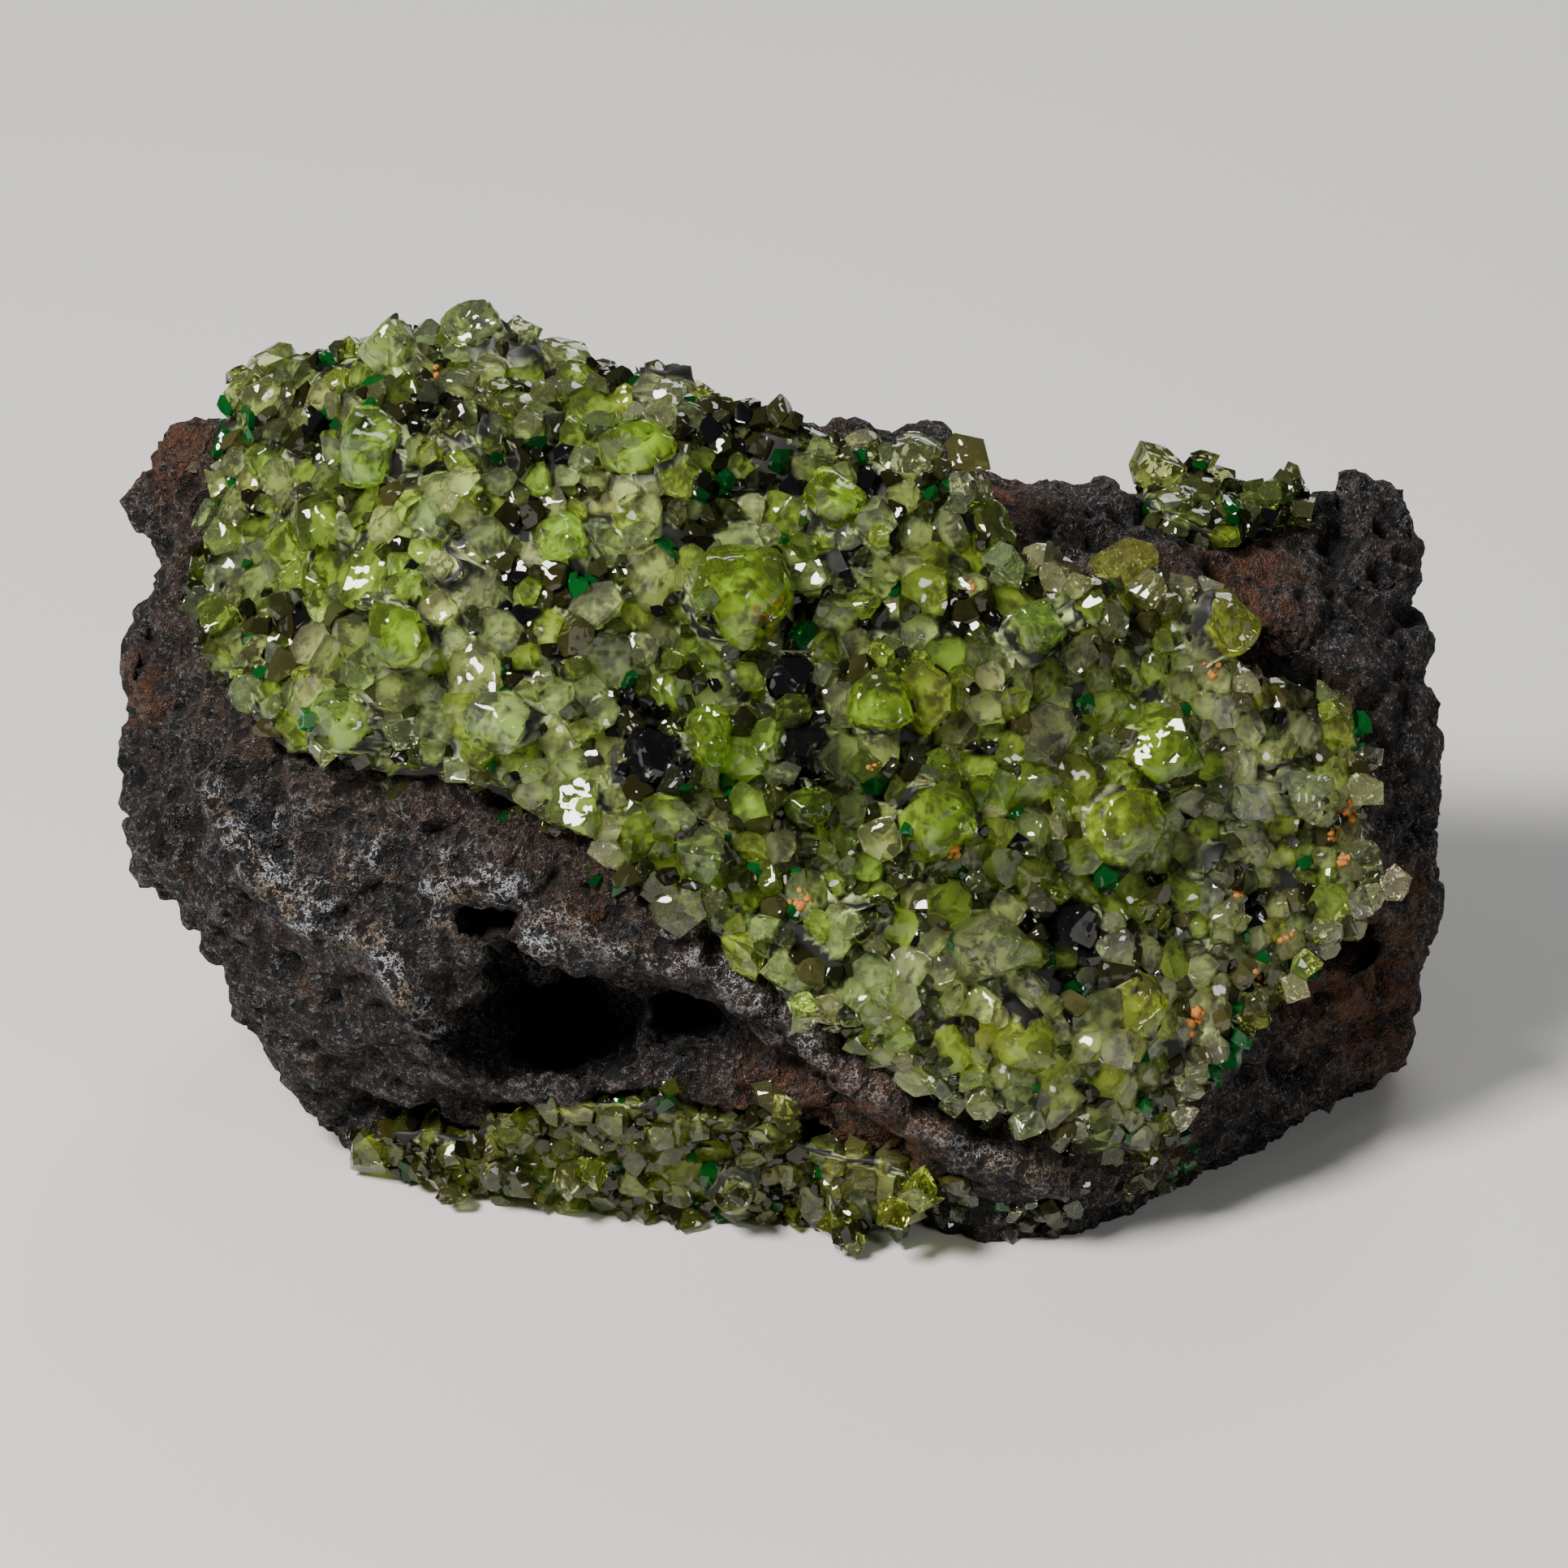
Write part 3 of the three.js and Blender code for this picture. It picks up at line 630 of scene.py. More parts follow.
# The large clear crystals on the show face, in millimetres: across, up, half-width, half-height
LARGE_CRYSTALS = [
    (-2.3, 9.4, 2.9, 2.7),
    (-22.6, 3.0, 2.3, 1.7),
    (-21.2, 17.0, 2.1, 2.3),
    (-19.6, 7.4, 1.8, 1.8),
    (-14.6, 3.0, 2.0, 1.7),
    (-24.0, 13.4, 1.7, 2.0),
    (-7.4, 17.0, 2.2, 1.8),
    (-11.2, 12.4, 1.5, 1.6),
    (-3.8, 2.0, 1.3, 2.2),
    (-4.2, -3.9, 1.3, 1.8),
    (5.0, 3.8, 1.9, 1.7),
    (1.2, -1.6, 1.3, 1.2),
    (7.6, -2.2, 2.3, 2.0),
    (13.0, 7.6, 1.6, 1.5),
    (19.6, 1.6, 2.3, 1.9),
    (17.6, -2.4, 2.2, 2.0),
    (22.8, 8.2, 1.6, 2.0),
    (26.6, -0.6, 2.0, 1.6),
    (2.6, 14.2, 1.6, 1.8),
    (10.2, 12.2, 2.2, 1.9),
    (-10.6, -1.4, 1.8, 1.6),
    (-20.4, 22.4, 1.7, 1.5),
    (-15.8, 23.4, 1.8, 1.5),
    (12.2, -13.6, 2.0, 1.7),
    (18.4, -11.6, 1.4, 2.0),
]
# Dark patches, where brown, black and emerald grains gather, darkened too as painted shade: across, up,
# radius
DARK_PATCHES = [
    (-13.9, 17.0, 1.3),
    (-13.2, 13.8, 1.2),
    (-12.0, 10.4, 1.1),
    (-18.8, 18.6, 1.8),
    (-1.5, 17.6, 3.6),
    (-3.8, 13.4, 1.6),
    (1.0, 8.2, 1.4),
    (9.6, 8.4, 1.2),
    (-7.4, 3.6, 1.4),
    (-7.4, 0.4, 1.8),
    (0.6, 4.2, 1.7),
    (1.4, -1.4, 1.9),
    (14.8, -8.0, 2.0),
    (16.0, -10.8, 1.3),
    (-26.0, 7.6, 1.2),
    (-25.0, 18.6, 1.4),
    (-8.6, 22.0, 2.0),
]
# Deep gaps with no grain at all: across, up, radius
DARK_GAPS = [
    (0.6, 4.2, 1.1),
    (15.2, -8.2, 1.0),
    (-12.6, 12.4, 0.5),
    (-18.6, 18.4, 0.7),
    (-13.8, 16.4, 0.5),
    (0.8, 8.6, 0.6),
    (4.4, 6.0, 0.5),
    (-26.6, 5.4, 0.5),
    (-3.7, 18.9, 0.8),
    (-0.6, 17.0, 0.8),
    (-1.3, 14.8, 0.6),
    (-3.2, 12.8, 0.7),
    (5.0, 15.4, 0.8),
    (5.5, 13.2, 0.6),
    (4.8, 11.6, 0.5),
    (-4.4, 16.2, 0.4),
]
# Places that no grain reaches: across, up, radius
BARE_PLACES = [(-5.8, 22.6, 2.0)]
# How much of a grain's size is kept out of a gap too: of the deep gaps, and of the random ones
DEEP_GAP_SHARE = 0.4
SMALL_GAP_SHARE = 0.85
# The room kept for a black crystal, as a share of its width
SPINEL_ROOM = 0.4
# How far in front of the show face a look at it starts, in millimetres
LOOK_FROM = 60


def unit(directions):
    return directions / np.linalg.norm(directions, axis=1)[:, None]


def outer_triangles(node):
    """A CAD node's outer triangles, without its seat: corners, unit normals and areas."""
    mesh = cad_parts[node].data
    points = vertex_array(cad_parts[node])
    corners = np.array([points[list(face.vertices)] for face in mesh.polygons])
    normals = np.cross(corners[:, 1] - corners[:, 0], corners[:, 2] - corners[:, 0])
    areas = np.linalg.norm(normals, axis=1)
    normals /= areas[:, None] + NO_AREA
    outward = unit(corners.mean(axis=1) - SHOW_MIDDLE)
    outer = (normals * outward).sum(axis=1) > FACING_OUT
    return corners[outer], normals[outer], areas[outer] / 2


def surface_points(node, count, rng):
    """Random points on a node's outer surface, and the way out at each."""
    corners, normals, areas = outer_triangles(node)
    chosen = rng.choice(len(areas), count, p=areas / areas.sum())
    a, b = rng.random((2, count, 1))
    flip = (a + b > 1)[:, 0]
    a[flip] = 1 - a[flip]
    b[flip] = 1 - b[flip]
    base = corners[chosen]
    points = base[:, 0] + a * (base[:, 1] - base[:, 0]) + b * (base[:, 2] - base[:, 0])
    return points, normals[chosen]


def shown_point(trees, across, up):
    """The point of the pieces in the trees that shows at a place on the show face."""
    start = Vector(from_show_face(across, up, LOOK_FROM))
    hits = [tree.ray_cast(start, Vector(-SHOW_AXES[2])) for tree in trees]
    hits = [hit for hit in hits if hit[0] is not None]
    if not hits:
        return None
    return np.array(min(hits, key=lambda hit: hit[3])[0])


def in_places(across, up, places):
    return any(math.hypot(across - place[0], up - place[1]) < place[2] for place in places)


def in_fine_part(across, up):
    """The main lump is fine-grained at its right end and along its lower right edge."""
    return across > 21 or (across > -3 and up < -6 - 0.25 * across)


def in_green_part(across, up):
    """The middle of the main lump is darker and greener."""
    return -8 < across < 21 and -7 < up < 10


def in_lower_lump(across, up):
    return up < -14 - 0.35 * (across + 22) and across < 8


def at_upper_left_rim(across, up):
    return up > 15 or across < -26


def clustered(middle, offset):
    """How strongly a kind of grain gathers at a place, between -1 and 1."""
    return noise.noise(Vector(middle) / CLUSTER_SIZE + Vector((offset, 0, 0)))


def in_cluster(middle, clusters):
    offset, over = clusters
    return clustered(middle, offset) > over


def grain_kind(middle, size, rng):
    """Which mineral a small grain is; the mix changes over the show face."""
    across, up, _ = on_show_face(middle)
    here = {
        "diopside cluster": in_cluster(middle, DIOPSIDE_CLUSTERS),
        "stained cluster": in_cluster(middle, STAINED_CLUSTERS),
        "fine part": in_fine_part(across, up),
        "green part": in_green_part(across, up),
        "lower lump": in_lower_lump(across, up),
        "upper left rim": at_upper_left_rim(across, up),
        "dark patch": in_places(across, up, DARK_PATCHES),
        "gap": size < GAP_GRAIN,
    }
    shares = dict(COMMON_SHARES)
    for place, added in ADDED_SHARES.items():
        if here[place]:
            for kind, share in added.items():
                shares[kind] += share
    if here["gap"]:
        shares[DIOPSIDE] *= DIOPSIDE_IN_GAPS
    if size > LARGEST_DARK_GRAIN:
        shares[DIOPSIDE] = 0
        shares[STAINED] *= STAINED_AND_LARGER[here["dark patch"]]
        shares[BLACK] = 0
    weights = np.array(list(shares.values()))
    return str(rng.choice(list(shares), p=weights / weights.sum()))


class GrainBed:
    """Grains' middles, half-sizes, ways out and minerals. Loose ones lie on the stone, not in a lump."""

    def __init__(self, loose=False):
        self.loose = loose
        self.middles = np.empty((MOST_GRAINS, 3))
        self.halves = np.empty((MOST_GRAINS, 3))
        self.outward = np.empty((MOST_GRAINS, 3))
        self.radii = np.empty(MOST_GRAINS)
        self.kinds = []

    def fits(self, middle, radius):
        taken = slice(0, len(self.kinds))
        distances = np.linalg.norm(self.middles[taken] - middle, axis=1)
        return bool(np.all(distances > CLOSENESS * (self.radii[taken] + radius)))

    def add(self, middle, half, outward, kind):
        index = len(self.kinds)
        self.middles[index] = middle
        self.halves[index] = half
        self.outward[index] = outward
        self.radii[index] = np.mean(half)
        self.kinds.append(kind)

    def add_large(self, crystals, trees):
        for across, up, wide, tall in crystals:
            spot = shown_point(trees, across, up)
            half = np.array([wide, tall, LARGE_DEPTH * min(wide, tall)]) * MM * LARGE_GROWTH
            self.add(spot - SHOW_AXES[2] * LARGE_SINK * half[2], half, SHOW_AXES[2], LARGE)


def fill_with_grains(bed, node, sizes, rng, blocked=np.empty((0, 5)), wanted=None):
    """Ever smaller grains wherever there is room on a node's outer surface."""
    for radius, tries in sizes:
        places, ways_out = surface_points(node, tries, rng)
        for place, way_out in zip(places, ways_out):
            size = radius * rng.uniform(*SIZE_SPREAD)
            across, up, _ = on_show_face(place)
            if in_places(across, up, BARE_PLACES) or (wanted and not wanted(place)):
                continue
            if size > LARGEST_IN_FINE_PART and in_fine_part(across, up):
                continue
            if size > LARGEST_IN_DARK_PATCH and in_places(across, up, DARK_PATCHES):
                continue
            radial = (place - SHOW_MIDDLE) / np.linalg.norm(place - SHOW_MIDDLE)
            steepness = 1 - radial @ way_out
            if size > LARGEST_ON_STEEP and steepness > STEEP:
                continue
            sink = rng.uniform(*SINK_SPREAD) + SINK_ON_STEEP * steepness
            if size < GAP_GRAIN and not bed.loose:
                sink += SINK_IN_GAPS
            if abs(way_out @ SHOW_AXES[2]) < SIDEWAYS:
                sink += SINK_ON_SIDES
            kind = grain_kind(place, size, rng)
            size *= MM
            middle = place - way_out * size * sink
            room = np.linalg.norm(blocked[:, :3] - middle, axis=1) - blocked[:, 3] - blocked[:, 4] * size
            if np.any(room < 0):
                continue
            if bed.fits(middle, size):
                bed.add(middle, size * rng.uniform(*HALF_SPREAD, 3), way_out, kind)


def random_directions(count, rng):
    return unit(rng.normal(size=(count, 3)))


def neighbour_planes(bed, index, tree, many):
    """The planes where a grain meets its neighbours: directions and distances from its middle."""
    middle = bed.middles[index]
    directions = []
    reach = []
    for _, other, distance in tree.find_n(middle, many + 1):
        if other == index:
            continue
        split = (distance**2 + bed.radii[index] ** 2 - bed.radii[other] ** 2) / (2 * distance)
        directions.append((bed.middles[other] - middle) / distance)
        reach.append(max(split + GRAIN_OVERLAP, NEAREST_MEETING * bed.radii[index]))
    return np.array(directions), np.array(reach)


def too_narrow(face):
    """Whether a face is so narrow that its plane only grazes the solid."""
    arms = face - face[0]
    area = np.linalg.norm(np.cross(arms[1:-1], arms[2:]).sum(axis=0)) / 2
    return area <= NARROWEST_FACE * np.linalg.norm(np.ptp(face, axis=0))


def enclosed_solid(normals, reach):
    """Corners and faces of the solid that flat faces enclose, around its middle, in millimetres."""
    first, second, third = np.array(list(combinations(range(len(normals)), 3))).T
    pairs = np.cross(normals[second], normals[third])
    volume = (normals[first] * pairs).sum(axis=1)
    solid = np.abs(volume) > TOLERANCE
    first, second, third, pairs, volume = (part[solid] for part in (first, second, third, pairs, volume))
    corners = reach[first][:, None] * pairs
    corners += reach[second][:, None] * np.cross(normals[third], normals[first])
    corners += reach[third][:, None] * np.cross(normals[first], normals[second])
    corners /= volume[:, None]
    spare = reach - corners @ normals.T
    inside = (spare > -TOLERANCE).all(axis=1)
    corners = corners[inside]
    touching = spare[inside] < TOLERANCE
    faces = []
    for number, (normal, touched) in enumerate(zip(normals, touching.T)):
        around = np.nonzero(touched)[0]
        if len(around) < 3:
            continue
        arms = corners[around] - corners[around].mean(axis=0)
        across = arms[0] / np.linalg.norm(arms[0])
        angles = np.arctan2(arms @ np.cross(normal, across), arms @ across)
        around = around[np.argsort(angles)]
        if too_narrow(corners[around]):
            return enclosed_solid(np.delete(normals, number, axis=0), np.delete(reach, number))
        faces.append(around)
    return corners, faces


def small_grains(bed, chosen, rng):
    """The chosen grains as flat-faced solids: meeting planes, broken faces outside, and chips."""
    tree = tree_of(bed.middles[: len(bed.kinds)])
    box = np.vstack([np.eye(3), -np.eye(3)])
    solids = []
    for index in chosen:
        directions, reach = neighbour_planes(bed, index, tree, NEIGHBOURS)
        radius = bed.radii[index]
        sides = box @ np.linalg.qr(rng.normal(size=(3, 3)))[0]
        broken = random_directions(BROKEN_FACES, rng) * rng.uniform(*BROKEN_SPREAD, (BROKEN_FACES, 1))
        broken = unit(bed.outward[index] + broken)
        normals = np.vstack([directions, sides, broken, random_directions(CHIPS, rng)])
        reach = np.concatenate(
            [
                reach,
                np.tile(bed.halves[index], 2) * rng.uniform(*BOX_REACH, len(box)),
                radius * rng.uniform(*BROKEN_REACH, BROKEN_FACES),
                radius * rng.uniform(*CHIP_REACH, CHIPS),
            ]
        )
        corners, faces = enclosed_solid(normals, reach / MM)
        solids.append((bed.middles[index] + corners * MM, faces))
    return solids


def unit_ball(subdivisions):
    deselect_all()
    bpy.ops.mesh.primitive_ico_sphere_add(subdivisions=subdivisions, radius=1)
    ball = bpy.context.object
    directions = vertex_array(ball)
    faces = [list(face.vertices) for face in ball.data.polygons]
    bpy.data.objects.remove(ball)
    return unit(directions), faces


def wavy(directions, fineness, rng):
    offset = Vector(rng.uniform(-WAVE_OFFSET, WAVE_OFFSET, 3))
    return np.array([noise.noise(Vector(direction) * fineness + offset) for direction in directions])


def large_crystals(bed, chosen, rng):
    """The chosen crystals with softened edges: balls cut by broken faces and by their neighbours."""
    directions, faces = unit_ball(4)
    local = directions @ SHOW_AXES.T
    tree = tree_of(bed.middles[: len(bed.kinds)])
    solids = []
    for index in chosen:
        half = bed.halves[index]
        filled = (np.abs(local / (LARGE_FULLNESS * half)) ** 2).sum(axis=1) ** (EDGE_CRISPNESS / 2)
        cuts = random_directions(LARGE_CUTS, rng)
        reach = np.linalg.norm(cuts * half, axis=1) * rng.uniform(*LARGE_CUT_REACH, LARGE_CUTS)
        filled += (np.clip(local @ cuts.T / reach, 0, None) ** EDGE_CRISPNESS).sum(axis=1)
        meeting, reach = neighbour_planes(bed, index, tree, LARGE_NEIGHBOURS)
        filled += (np.clip(directions @ meeting.T / reach, 0, None) ** EDGE_CRISPNESS).sum(axis=1)
        waves = wavy(directions, WAVE_FINENESS, rng)
        radii = filled ** (-1 / EDGE_CRISPNESS) * (1 + WAVE_DEPTH * waves)
        solids.append((bed.middles[index] + directions * radii[:, None], faces))
    return solids


def grain_piece(name, solids, tints):
    """One mesh of many grains, each with its own tint."""
    corners = []
    faces = []
    colours = []
    for (solid_corners, solid_faces), tint in zip(solids, tints):
        start = len(corners)
        corners.extend(solid_corners)
        faces.extend([start + corner for corner in face] for face in solid_faces)
        colours.extend([(*tint, 1.0)] * len(solid_corners))
    mesh = bpy.data.meshes.new(name)
    mesh.from_pydata(inside_cad_box(corners), [], faces)
    attribute = mesh.attributes.new("tint", "FLOAT_COLOR", "POINT")
    attribute.data.foreach_set("color", np.array(colours, np.float32).ravel())
    piece = new_piece(name, mesh)
    merge_corners()
    return piece


def grain_tints(kind, bed, chosen, shade, rng):
    """Colours for grains of one kind: each lighter, darker, warmer or cooler, with painted shade in the
    gaps.
    """
    count = len(chosen)
    tints = np.tile(GRAIN_COLOURS[kind], (count, 1))
    if kind in COLOURLESS_RARITY:
        tints += (np.array(COLOURLESS) - tints) * rng.random((count, 1)) ** COLOURLESS_RARITY[kind]
    light = np.array(shade) * rng.uniform(*LIGHT_SPREAD, (count, 1))
    broad = np.array([clustered(middle * 0.6, LIGHT_CLUSTERS) for middle in bed.middles[chosen]])
    light *= 1 + LIGHT_IN_CLUSTERS * np.clip(broad, *CLUSTER_RANGE)[:, None]
    # Painted shade on the small grains deep in the gaps
    if kind != DIOPSIDE and not bed.loose:
        light *= np.where(bed.radii[chosen] < GAP_GRAIN * MM, PAINTED_SHADE_IN_GAPS, 1)[:, None]
    for index, place in enumerate(on_show_face(bed.middles[chosen])[:, :2]):
        if in_green_part(*place):
            light[index] *= LIGHT_IN_GREEN_PART
        # Darker grains in the dark patches, partly painted shade
        if in_places(*place, DARK_PATCHES):
            light[index] *= DARK_PATCH_TONE_AND_SHADE
    warmth = rng.normal(0, WARMTH, (count, 1)) * np.array(WARMER)
    across = on_show_face(bed.middles[chosen])[:, :1]
    light *= MIDDLE_LIGHT + LIGHT_RISE * across
    tints *= 1 + np.array(HAZE) * np.clip((across - HAZE_FROM) / HAZE_WIDTH, 0, 1)
    return np.clip(tints * light * (1 + warmth), DARKEST, 1)


# Flakes are bent by a swirl: how fine it is against them, and how far it reaches each way
SWIRL_FINENESS = 0.67
SWIRL_REACH = (1.9, -1.5, 1.7)


def flake_group():
    """Normal of a surface broken into small flat flakes, each tilted its own way."""
    inputs = {"Vector": "NodeSocketVector", "Normal": "NodeSocketVector"}
    inputs |= {"Flake Size": "NodeSocketFloat", "Tilt": "NodeSocketFloat"}
    group, nodes, given = new_group("broken flakes", inputs, "Normal", "NodeSocketVector")
    fineness = nodes.math("DIVIDE", 1.0, given["Flake Size"])
    swirl_fineness = nodes.math("MULTIPLY", fineness, SWIRL_FINENESS)
    inputs = {"Vector": given["Vector"], "Scale": swirl_fineness, "Detail": 0.0}
    swirl = nodes.add("ShaderNodeTexNoise", inputs).outputs["Fac"]
    swirl = nodes.scaled(SWIRL_REACH, nodes.math("SUBTRACT", swirl, 0.5))
    bent = nodes.vector("ADD", nodes.scaled(given["Vector"], fineness), swirl)
    flakes = nodes.add("ShaderNodeTexVoronoi", {"Vector": bent, "Scale": 1.0})
    tilt = nodes.vector("SUBTRACT", flakes.outputs["Color"], (0.5, 0.5, 0.5))
    tilted = nodes.vector("ADD", given["Normal"], nodes.scaled(tilt, given["Tilt"]))
    nodes.add("NodeGroupOutput", {"Normal": nodes.vector("NORMALIZE", tilted)})
    return group


FLAKES = flake_group()


def add_flakes(nodes, shader, where, size, tilt):
    flakes = nodes.add("ShaderNodeGroup", node_tree=FLAKES)
    surface = nodes.add("ShaderNodeNewGeometry").outputs["Normal"]
    for socket, value in zip(("Vector", "Normal", "Flake Size", "Tilt"), (where, surface, size, tilt)):
        nodes.put(flakes.inputs[socket], value)
    nodes.put(shader.inputs["Normal"], flakes.outputs["Normal"])


FLAW_SIZE = 0.3 * MM
FLAW_COLOUR = rgb(0.8, 0.85, 0.5)
# The large crystals soak up red and blue light on its way through them
ABSORBED = {"Color": rgb(0.6, 0.82, 0.12), "Density": 230.0}
SPINEL_COLOUR = rgb(0.003, 0.003, 0.004)
# The core's colours: near black painted shade in the gaps between the grains, and its grains
CORE_COLOURS = (rgb(0.004, 0.004, 0.002), rgb(0.5, 0.6, 0.24))


def glassy_material(name, transmission, roughness, flake, tilt, flaws=0.0, absorbed=None):
    """Glassy grains, tinted grain by grain: pale flaws inside and small broken flakes on the surface."""
    material, nodes, shader = new_material(
        name, IOR=1.5, Transmission_Weight=transmission, Roughness=roughness
    )
    where = nodes.place()
    tint = nodes.attribute("tint", "Color")
    if flaws:
        flawed = nodes.range(nodes.noise(where, FLAW_SIZE, 0), 0.45, 0.7)
        tint = nodes.layer(tint, flawed, flaws, FLAW_COLOUR)
    nodes.put(shader.inputs["Base Color"], tint)
    add_flakes(nodes, shader, where, flake, tilt)
    if absorbed:
        volume = nodes.add("ShaderNodeVolumeAbsorption", absorbed)
        nodes.put(material.node_tree.nodes["Material Output"].inputs["Volume"], volume.outputs[0])
    return material


def black_material():
    material, nodes, shader = new_material("black spinel", Roughness=0.07, IOR=1.6)
    shader.inputs["Base Color"].default_value = SPINEL_COLOUR
    add_flakes(nodes, shader, nodes.place(), 0.5 * MM, 0.3)
    return material


def core_material():
    """Deeper grains seen through the outer ones: light and dark patches, and painted shade in the gaps.
    """
    material, nodes, shader = new_material("grains under the surface", Roughness=0.6)
    where = nodes.place()
    spots = nodes.range(nodes.noise(where, 1.1 * MM, 2), 0.3, 0.6)
    # Painted shade: where no clear grain covers the core, it stays near black
    spots = nodes.math("MULTIPLY", spots, nodes.attribute("covered"))
    nodes.put(shader.inputs["Base Color"], nodes.mix(spots, *CORE_COLOURS))
    nodes.bump(shader, spots, 0.3 * MM, 0.8)
    return material


SPINEL_MATERIAL = black_material()
CORE_MATERIAL = core_material()
GRAIN_MATERIALS = {
    # transmission, roughness, size and tilt of the flakes, strength of the flaws, absorption
    LARGE: glassy_material("clear green olivine", 0.95, 0.03, 0.9 * MM, 0.3, 0.15, ABSORBED),
    OLIVINE: glassy_material("pale olivine", 0.94, 0.04, 0.5 * MM, 0.4, 0.15),
    GREEN_OLIVINE: glassy_material("yellow-green olivine", 0.94, 0.03, 0.5 * MM, 0.4, 0.15),
    DIOPSIDE: glassy_material("emerald green diopside", 0.7, 0.04, 0.5 * MM, 0.3),
    STAINED: glassy_material("brown stained grains", 0.6, 0.05, 0.4 * MM, 0.4),
    BLACK: SPINEL_MATERIAL,
}


def covered_by_grains(core, trees):
    """1 where a clear grain lies right over the core, 0 under the gaps between the grains."""
    covered = np.zeros(len(core.data.vertices))
    for index, (point, way_out) in enumerate(zip(vertex_array(core), normal_array(core))):
        start = Vector(point)
        hits = [tree.ray_cast(start, Vector(way_out), COVER_REACH)[3] for tree in trees]
        covered[index] = any(hit is not None for hit in hits)
    return covered


def lump_core(node, pieces):
    """The lump's inside: the CAD solid, with its outer side sunk below the surface grains."""
    core = merged_copy(node, node + "_core")
    apply_modifier(core, "REMESH", mode="VOXEL", voxel_size=CORE_VOXEL)
    seat = surface_tree(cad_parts[node])
    points = vertex_array(core)
    inward = unit(SHOW_MIDDLE - points)
    for index in np.nonzero((normal_array(core) * inward).sum(axis=1) < 0)[0]:
        start = Vector(points[index] + inward[index] * CORE_SKIN)
        distance = seat.ray_cast(start, Vector(inward[index]))[3] or 0
        points[index] += inward[index] * min(CORE_SINK, CORE_SINK_SHARE * distance)
    set_vertices(core, points)
    trees = [surface_tree(pieces[kind]) for kind in CLEAR_KINDS if kind in pieces]
    add_attribute(core, "covered", covered_by_grains(core, trees))
    bpy.ops.object.shade_smooth()
    core.data.materials.append(CORE_MATERIAL)
    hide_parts(node)
    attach(core, "root")


def grain_pieces(name, bed, shade, rng):
    """One piece for each mineral in the bed."""
    kinds = np.array(bed.kinds)
    pieces = {}
    for kind, material in GRAIN_MATERIALS.items():
        chosen = np.nonzero(kinds == kind)[0]
        if not len(chosen):
            continue
        make = large_crystals if kind == LARGE else small_grains
        solids = make(bed, chosen, rng)
        tints = grain_tints(kind, bed, chosen, shade, rng)
        piece = grain_piece(name + "_" + kind.replace(" ", "_"), solids, tints)
        bpy.ops.object.shade_smooth_by_angle(angle=SOFT_EDGES[kind == LARGE])
        piece.data.materials.append(material)
        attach(piece, "root")
        pieces[kind] = piece
    return pieces


# Rounds of filling, from large grains to small ones: radius in millimetres, and number of tries
MAIN_SIZES = [(1.55, 300), (1.2, 1500), (0.95, 5000), (0.74, 8000), (0.55, 7000), (0.4, 5000)]
SMALL_SIZES = [(1.0, 150), (0.8, 600), (0.65, 1500), (0.5, 2500), (0.38, 3000)]
CRUMB_SIZES = [(0.6, 1500), (0.42, 3000), (0.3, 3000)]
# Places where crumbs of olivine cling to the basalt: across, up, radius
CRUMB_PLACES = [(13.0, -21.6, 3.0), (19.5, -20.4, 2.6), (8.6, -22.6, 1.6), (-27.4, 21.8, 2.4)]
# How far from the main lump other crumbs may lie
CRUMB_REACH = 1.1 * MM
# How light the grains of each bed are: one number, or one each for red, green and blue
MAIN_SHADE = 1.0
# The lower and back lumps are darkened as painted shade, with a warmer tone
LOWER_PAINTED_SHADE = (0.8, 0.76, 0.5)
BACK_PAINTED_SHADE = (0.41, 0.47, 0.28)
CRUMB_SHADE = 0.85
SPINEL_NODES = [f"spinel_crystal_{number}" for number in range(1, 5)]

rng = np.random.default_rng(GRAIN_SEED)
main_tree = surface_tree(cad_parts["peridot_main"])
# Places kept free of grains: middle, radius, and how much of a grain's size is kept out of it too
blocked = []
for across, up, radius in DARK_GAPS:
    blocked.append((*shown_point([main_tree], across, up), radius * MM, DEEP_GAP_SHARE))
for node in SPINEL_NODES:
    low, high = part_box(node)
    blocked.append((*(low + high) / 2, SPINEL_ROOM * (high - low).x, DEEP_GAP_SHARE))
for gap in surface_points("peridot_main", SMALL_GAPS, rng)[0]:
    blocked.append((*gap, rng.uniform(*SMALL_GAP_RADII), SMALL_GAP_SHARE))
blocked = np.array(blocked)

main_bed = GrainBed()
main_bed.add_large(LARGE_CRYSTALS, [main_tree])
fill_with_grains(main_bed, "peridot_main", MAIN_SIZES, rng, blocked)
lower_bed = GrainBed()
fill_with_grains(lower_bed, "peridot_lower", SMALL_SIZES, rng)
back_bed = GrainBed()
fill_with_grains(back_bed, "peridot_back", SMALL_SIZES, rng)


def crumb_place(place):
    """Crumbs lie close around the main lump, and in a few places on the stone's lower edge."""
    across, up, _ = on_show_face(place)
    if in_places(across, up, CRUMB_PLACES):
        return True
    near = main_tree.find_nearest(Vector(place))[3] < CRUMB_REACH
    return near and in_cluster(place, CRUMB_CLUSTERS)


crumb_bed = GrainBed(loose=True)
fill_with_grains(crumb_bed, "basalt_matrix", CRUMB_SIZES, rng, wanted=crumb_place)
lump_pieces = {
    "peridot_main": grain_pieces("peridot_main", main_bed, MAIN_SHADE, rng),
    "peridot_lower": grain_pieces("peridot_lower", lower_bed, LOWER_PAINTED_SHADE, rng),
    "peridot_back": grain_pieces("peridot_back", back_bed, BACK_PAINTED_SHADE, rng),
}
grain_pieces("crumbs", crumb_bed, CRUMB_SHADE, rng)
for node, pieces in lump_pieces.items():
    lump_core(node, pieces)
    for piece in pieces.values():
        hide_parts(node)

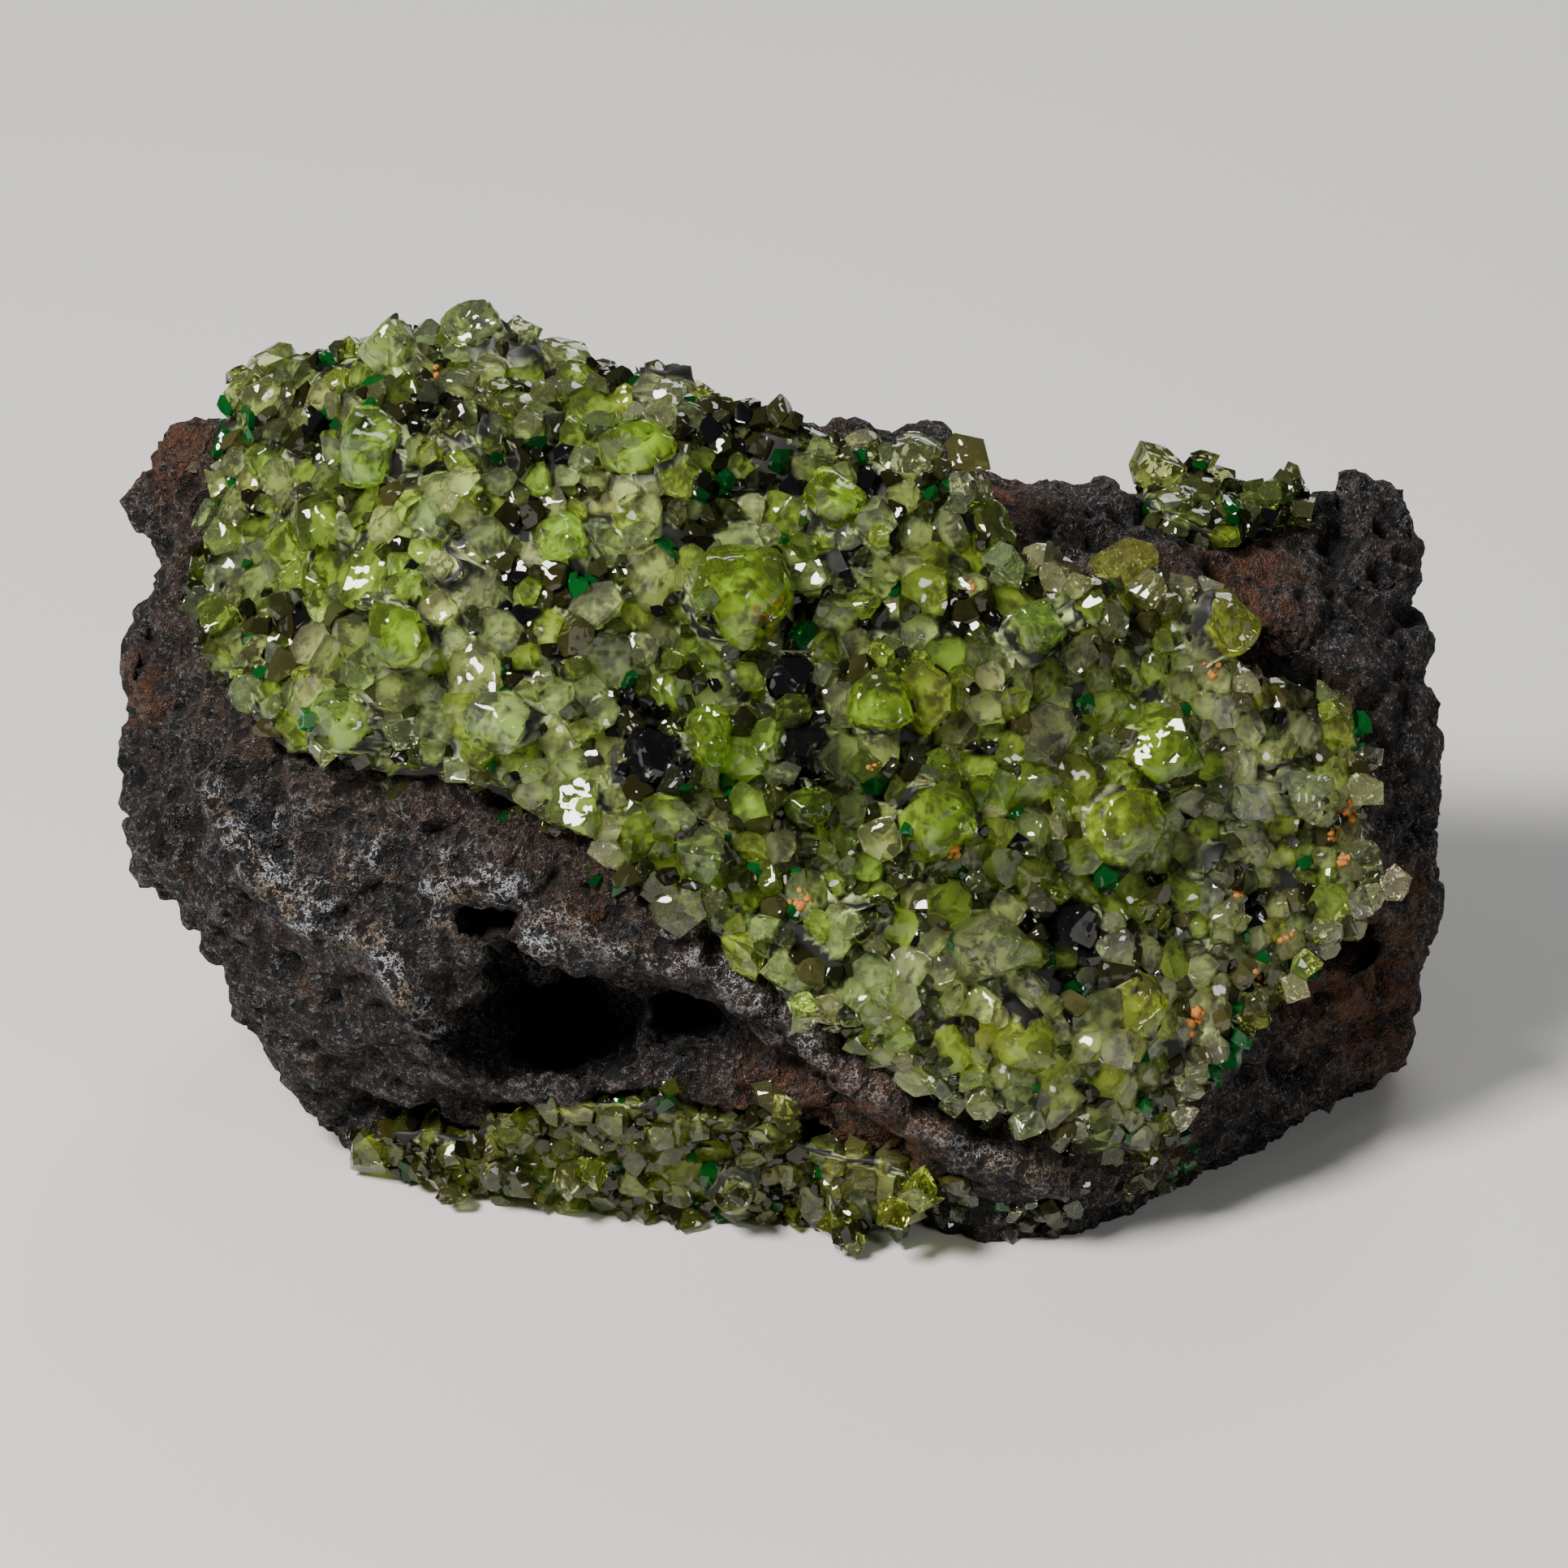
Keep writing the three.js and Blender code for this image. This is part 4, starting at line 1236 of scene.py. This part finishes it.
# Iron oxide crumbs
# Small soft orange crumbs of weathered iron oxide, a fraction of a millimetre across, in clumps.
# They stick to the large lump's grains and collect at its right edge, and a few are inside its
# largest crystal.
# Clumps inside the largest crystal, and how deep; then clumps on the grains: across, up, radius
OXIDE_IN_CRYSTAL = [(-1.1, 8.3, 0.8), (-0.6, 9.0, 0.45)]
OXIDE_DEPTH = 0.6 * MM
OXIDE_ON_GRAINS = [
    (0.9, -5.9, 0.6),
    (8.7, -3.8, 0.5),
    (22.2, 5.7, 0.5),
    (21.1, -12.6, 0.8),
    (23.4, -6.0, 0.35),
    (29.4, -1.7, 0.7),
    (29.2, -4.3, 0.5),
    (28.6, -3.0, 0.4),
    (-18.1, 21.1, 0.4),
    (9.6, 9.8, 0.3),
    (4.5, 0.6, 0.3),
    (7.0, -0.2, 0.25),
    (26.0, -8.0, 0.4),
    (24.6, -10.4, 0.35),
]
# Radii of the crumbs in a clump, and how far they scatter, as shares of the clump's radius
OXIDE_SHARES = (0.55, 0.45, 0.4, 0.3, 0.3, 0.2, 0.15, 0.15)
OXIDE_SHRINK = 0.8
OXIDE_SCATTER = 0.45
OXIDE_FINENESS = 1.7
OXIDE_UNEVENNESS = 0.6
OXIDE_COLOURS = (rgb(0.38, 0.11, 0.012), rgb(0.6, 0.25, 0.04))


def oxide_material():
    material, nodes, shader = new_material("orange iron oxide", Roughness=0.8)
    spots = nodes.noise(nodes.place(), 0.3 * MM, 4)
    nodes.put(shader.inputs["Base Color"], nodes.mix(spots, *OXIDE_COLOURS))
    nodes.bump(shader, spots, 0.15 * MM)
    return material


def oxide_crumb(middle, radius, rng):
    """A soft uneven crumb."""
    directions, faces = unit_ball(2)
    waves = wavy(directions, OXIDE_FINENESS, rng)
    return middle + directions * (radius * (1 + OXIDE_UNEVENNESS * waves))[:, None], faces


grain_trees = [surface_tree(piece) for piece in lump_pieces["peridot_main"].values()]
crumbs = []
for clumps, depth in ((OXIDE_IN_CRYSTAL, OXIDE_DEPTH), (OXIDE_ON_GRAINS, 0)):
    for across, up, radius in clumps:
        for share in OXIDE_SHARES:
            spot = shown_point(grain_trees, *rng.normal((across, up), OXIDE_SCATTER * radius))
            if spot is not None:
                middle = spot - SHOW_AXES[2] * depth
                crumbs.append(oxide_crumb(middle, OXIDE_SHRINK * share * radius * MM, rng))
oxide = grain_piece("iron_oxide_crumbs", crumbs, np.ones((len(crumbs), 3)))
bpy.ops.object.shade_smooth()
oxide.data.materials.append(oxide_material())
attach(oxide, "root")

# Spinel crystals
# Four black crystals of spinel, an oxide mineral, are grown together with the olivine grains around
# them in the large lump. They are opaque, very glossy and chipped.
for node in SPINEL_NODES:
    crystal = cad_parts[node]
    crystal.data.materials.clear()
    crystal.data.materials.append(SPINEL_MATERIAL)

# Studio
# A pale floor, a soft key light above and to the left, a weak fill light from the right, a soft
# light from behind, and a dim even room.
FRAME_WIDTH = 82.35 * MM
LENS = 250
SENSOR = 36
# The middle of the photo's frame: across and up on the show face, in millimetres
FRAME_MIDDLE = (0, -0.26)
FLOOR_SIZE = 3
LIGHTS = [
    # name, place, size, power, colour
    ("key light", (-0.2, -0.15, 0.32), 0.11, 3.0, (1, 0.98, 0.95)),
    ("fill light", (0.3, -0.28, 0.2), 0.1, 0.4, (1, 1, 1)),
    ("back light", (0.1, 0.35, 0.25), 0.2, 0.7, (1, 1, 1)),
]
ROOM_COLOUR = rgb(0.9, 0.92, 0.95)
ROOM_STRENGTH = 0.06


def floor_material():
    material, _, shader = new_material("pale studio floor", Roughness=0.7)
    shader.inputs["Base Color"].default_value = rgb(0.72, 0.71, 0.69)
    return material


deselect_all()
bpy.ops.mesh.primitive_plane_add(size=FLOOR_SIZE, location=(0, 0, 0))
floor = bpy.context.object
floor.name = "studio_floor"
floor.data.materials.append(floor_material())

camera = bpy.data.objects.new("camera", bpy.data.cameras.new("camera"))
bpy.context.scene.collection.objects.link(camera)
camera.data.lens = LENS
camera.data.sensor_width = SENSOR
camera.data.clip_start = 0.01
aim = Vector(from_show_face(*FRAME_MIDDLE, 0))
camera.location = aim + Vector(SHOW_AXES[2]) * FRAME_WIDTH * LENS / SENSOR
camera.rotation_euler = Vector(-SHOW_AXES[2]).to_track_quat("-Z", "Y").to_euler()
bpy.context.scene.camera = camera

for name, place, size, power, colour in LIGHTS:
    light = bpy.data.objects.new(name, bpy.data.lights.new(name, "AREA"))
    bpy.context.scene.collection.objects.link(light)
    light.data.size = size
    light.data.energy = power
    light.data.color = colour
    light.location = place
    light.rotation_euler = (aim - light.location).to_track_quat("-Z", "Y").to_euler()

world = bpy.data.worlds.new("dim room")
world.use_nodes = True
room = world.node_tree.nodes["Background"]
room.inputs["Color"].default_value = ROOM_COLOUR
room.inputs["Strength"].default_value = ROOM_STRENGTH
bpy.context.scene.world = world
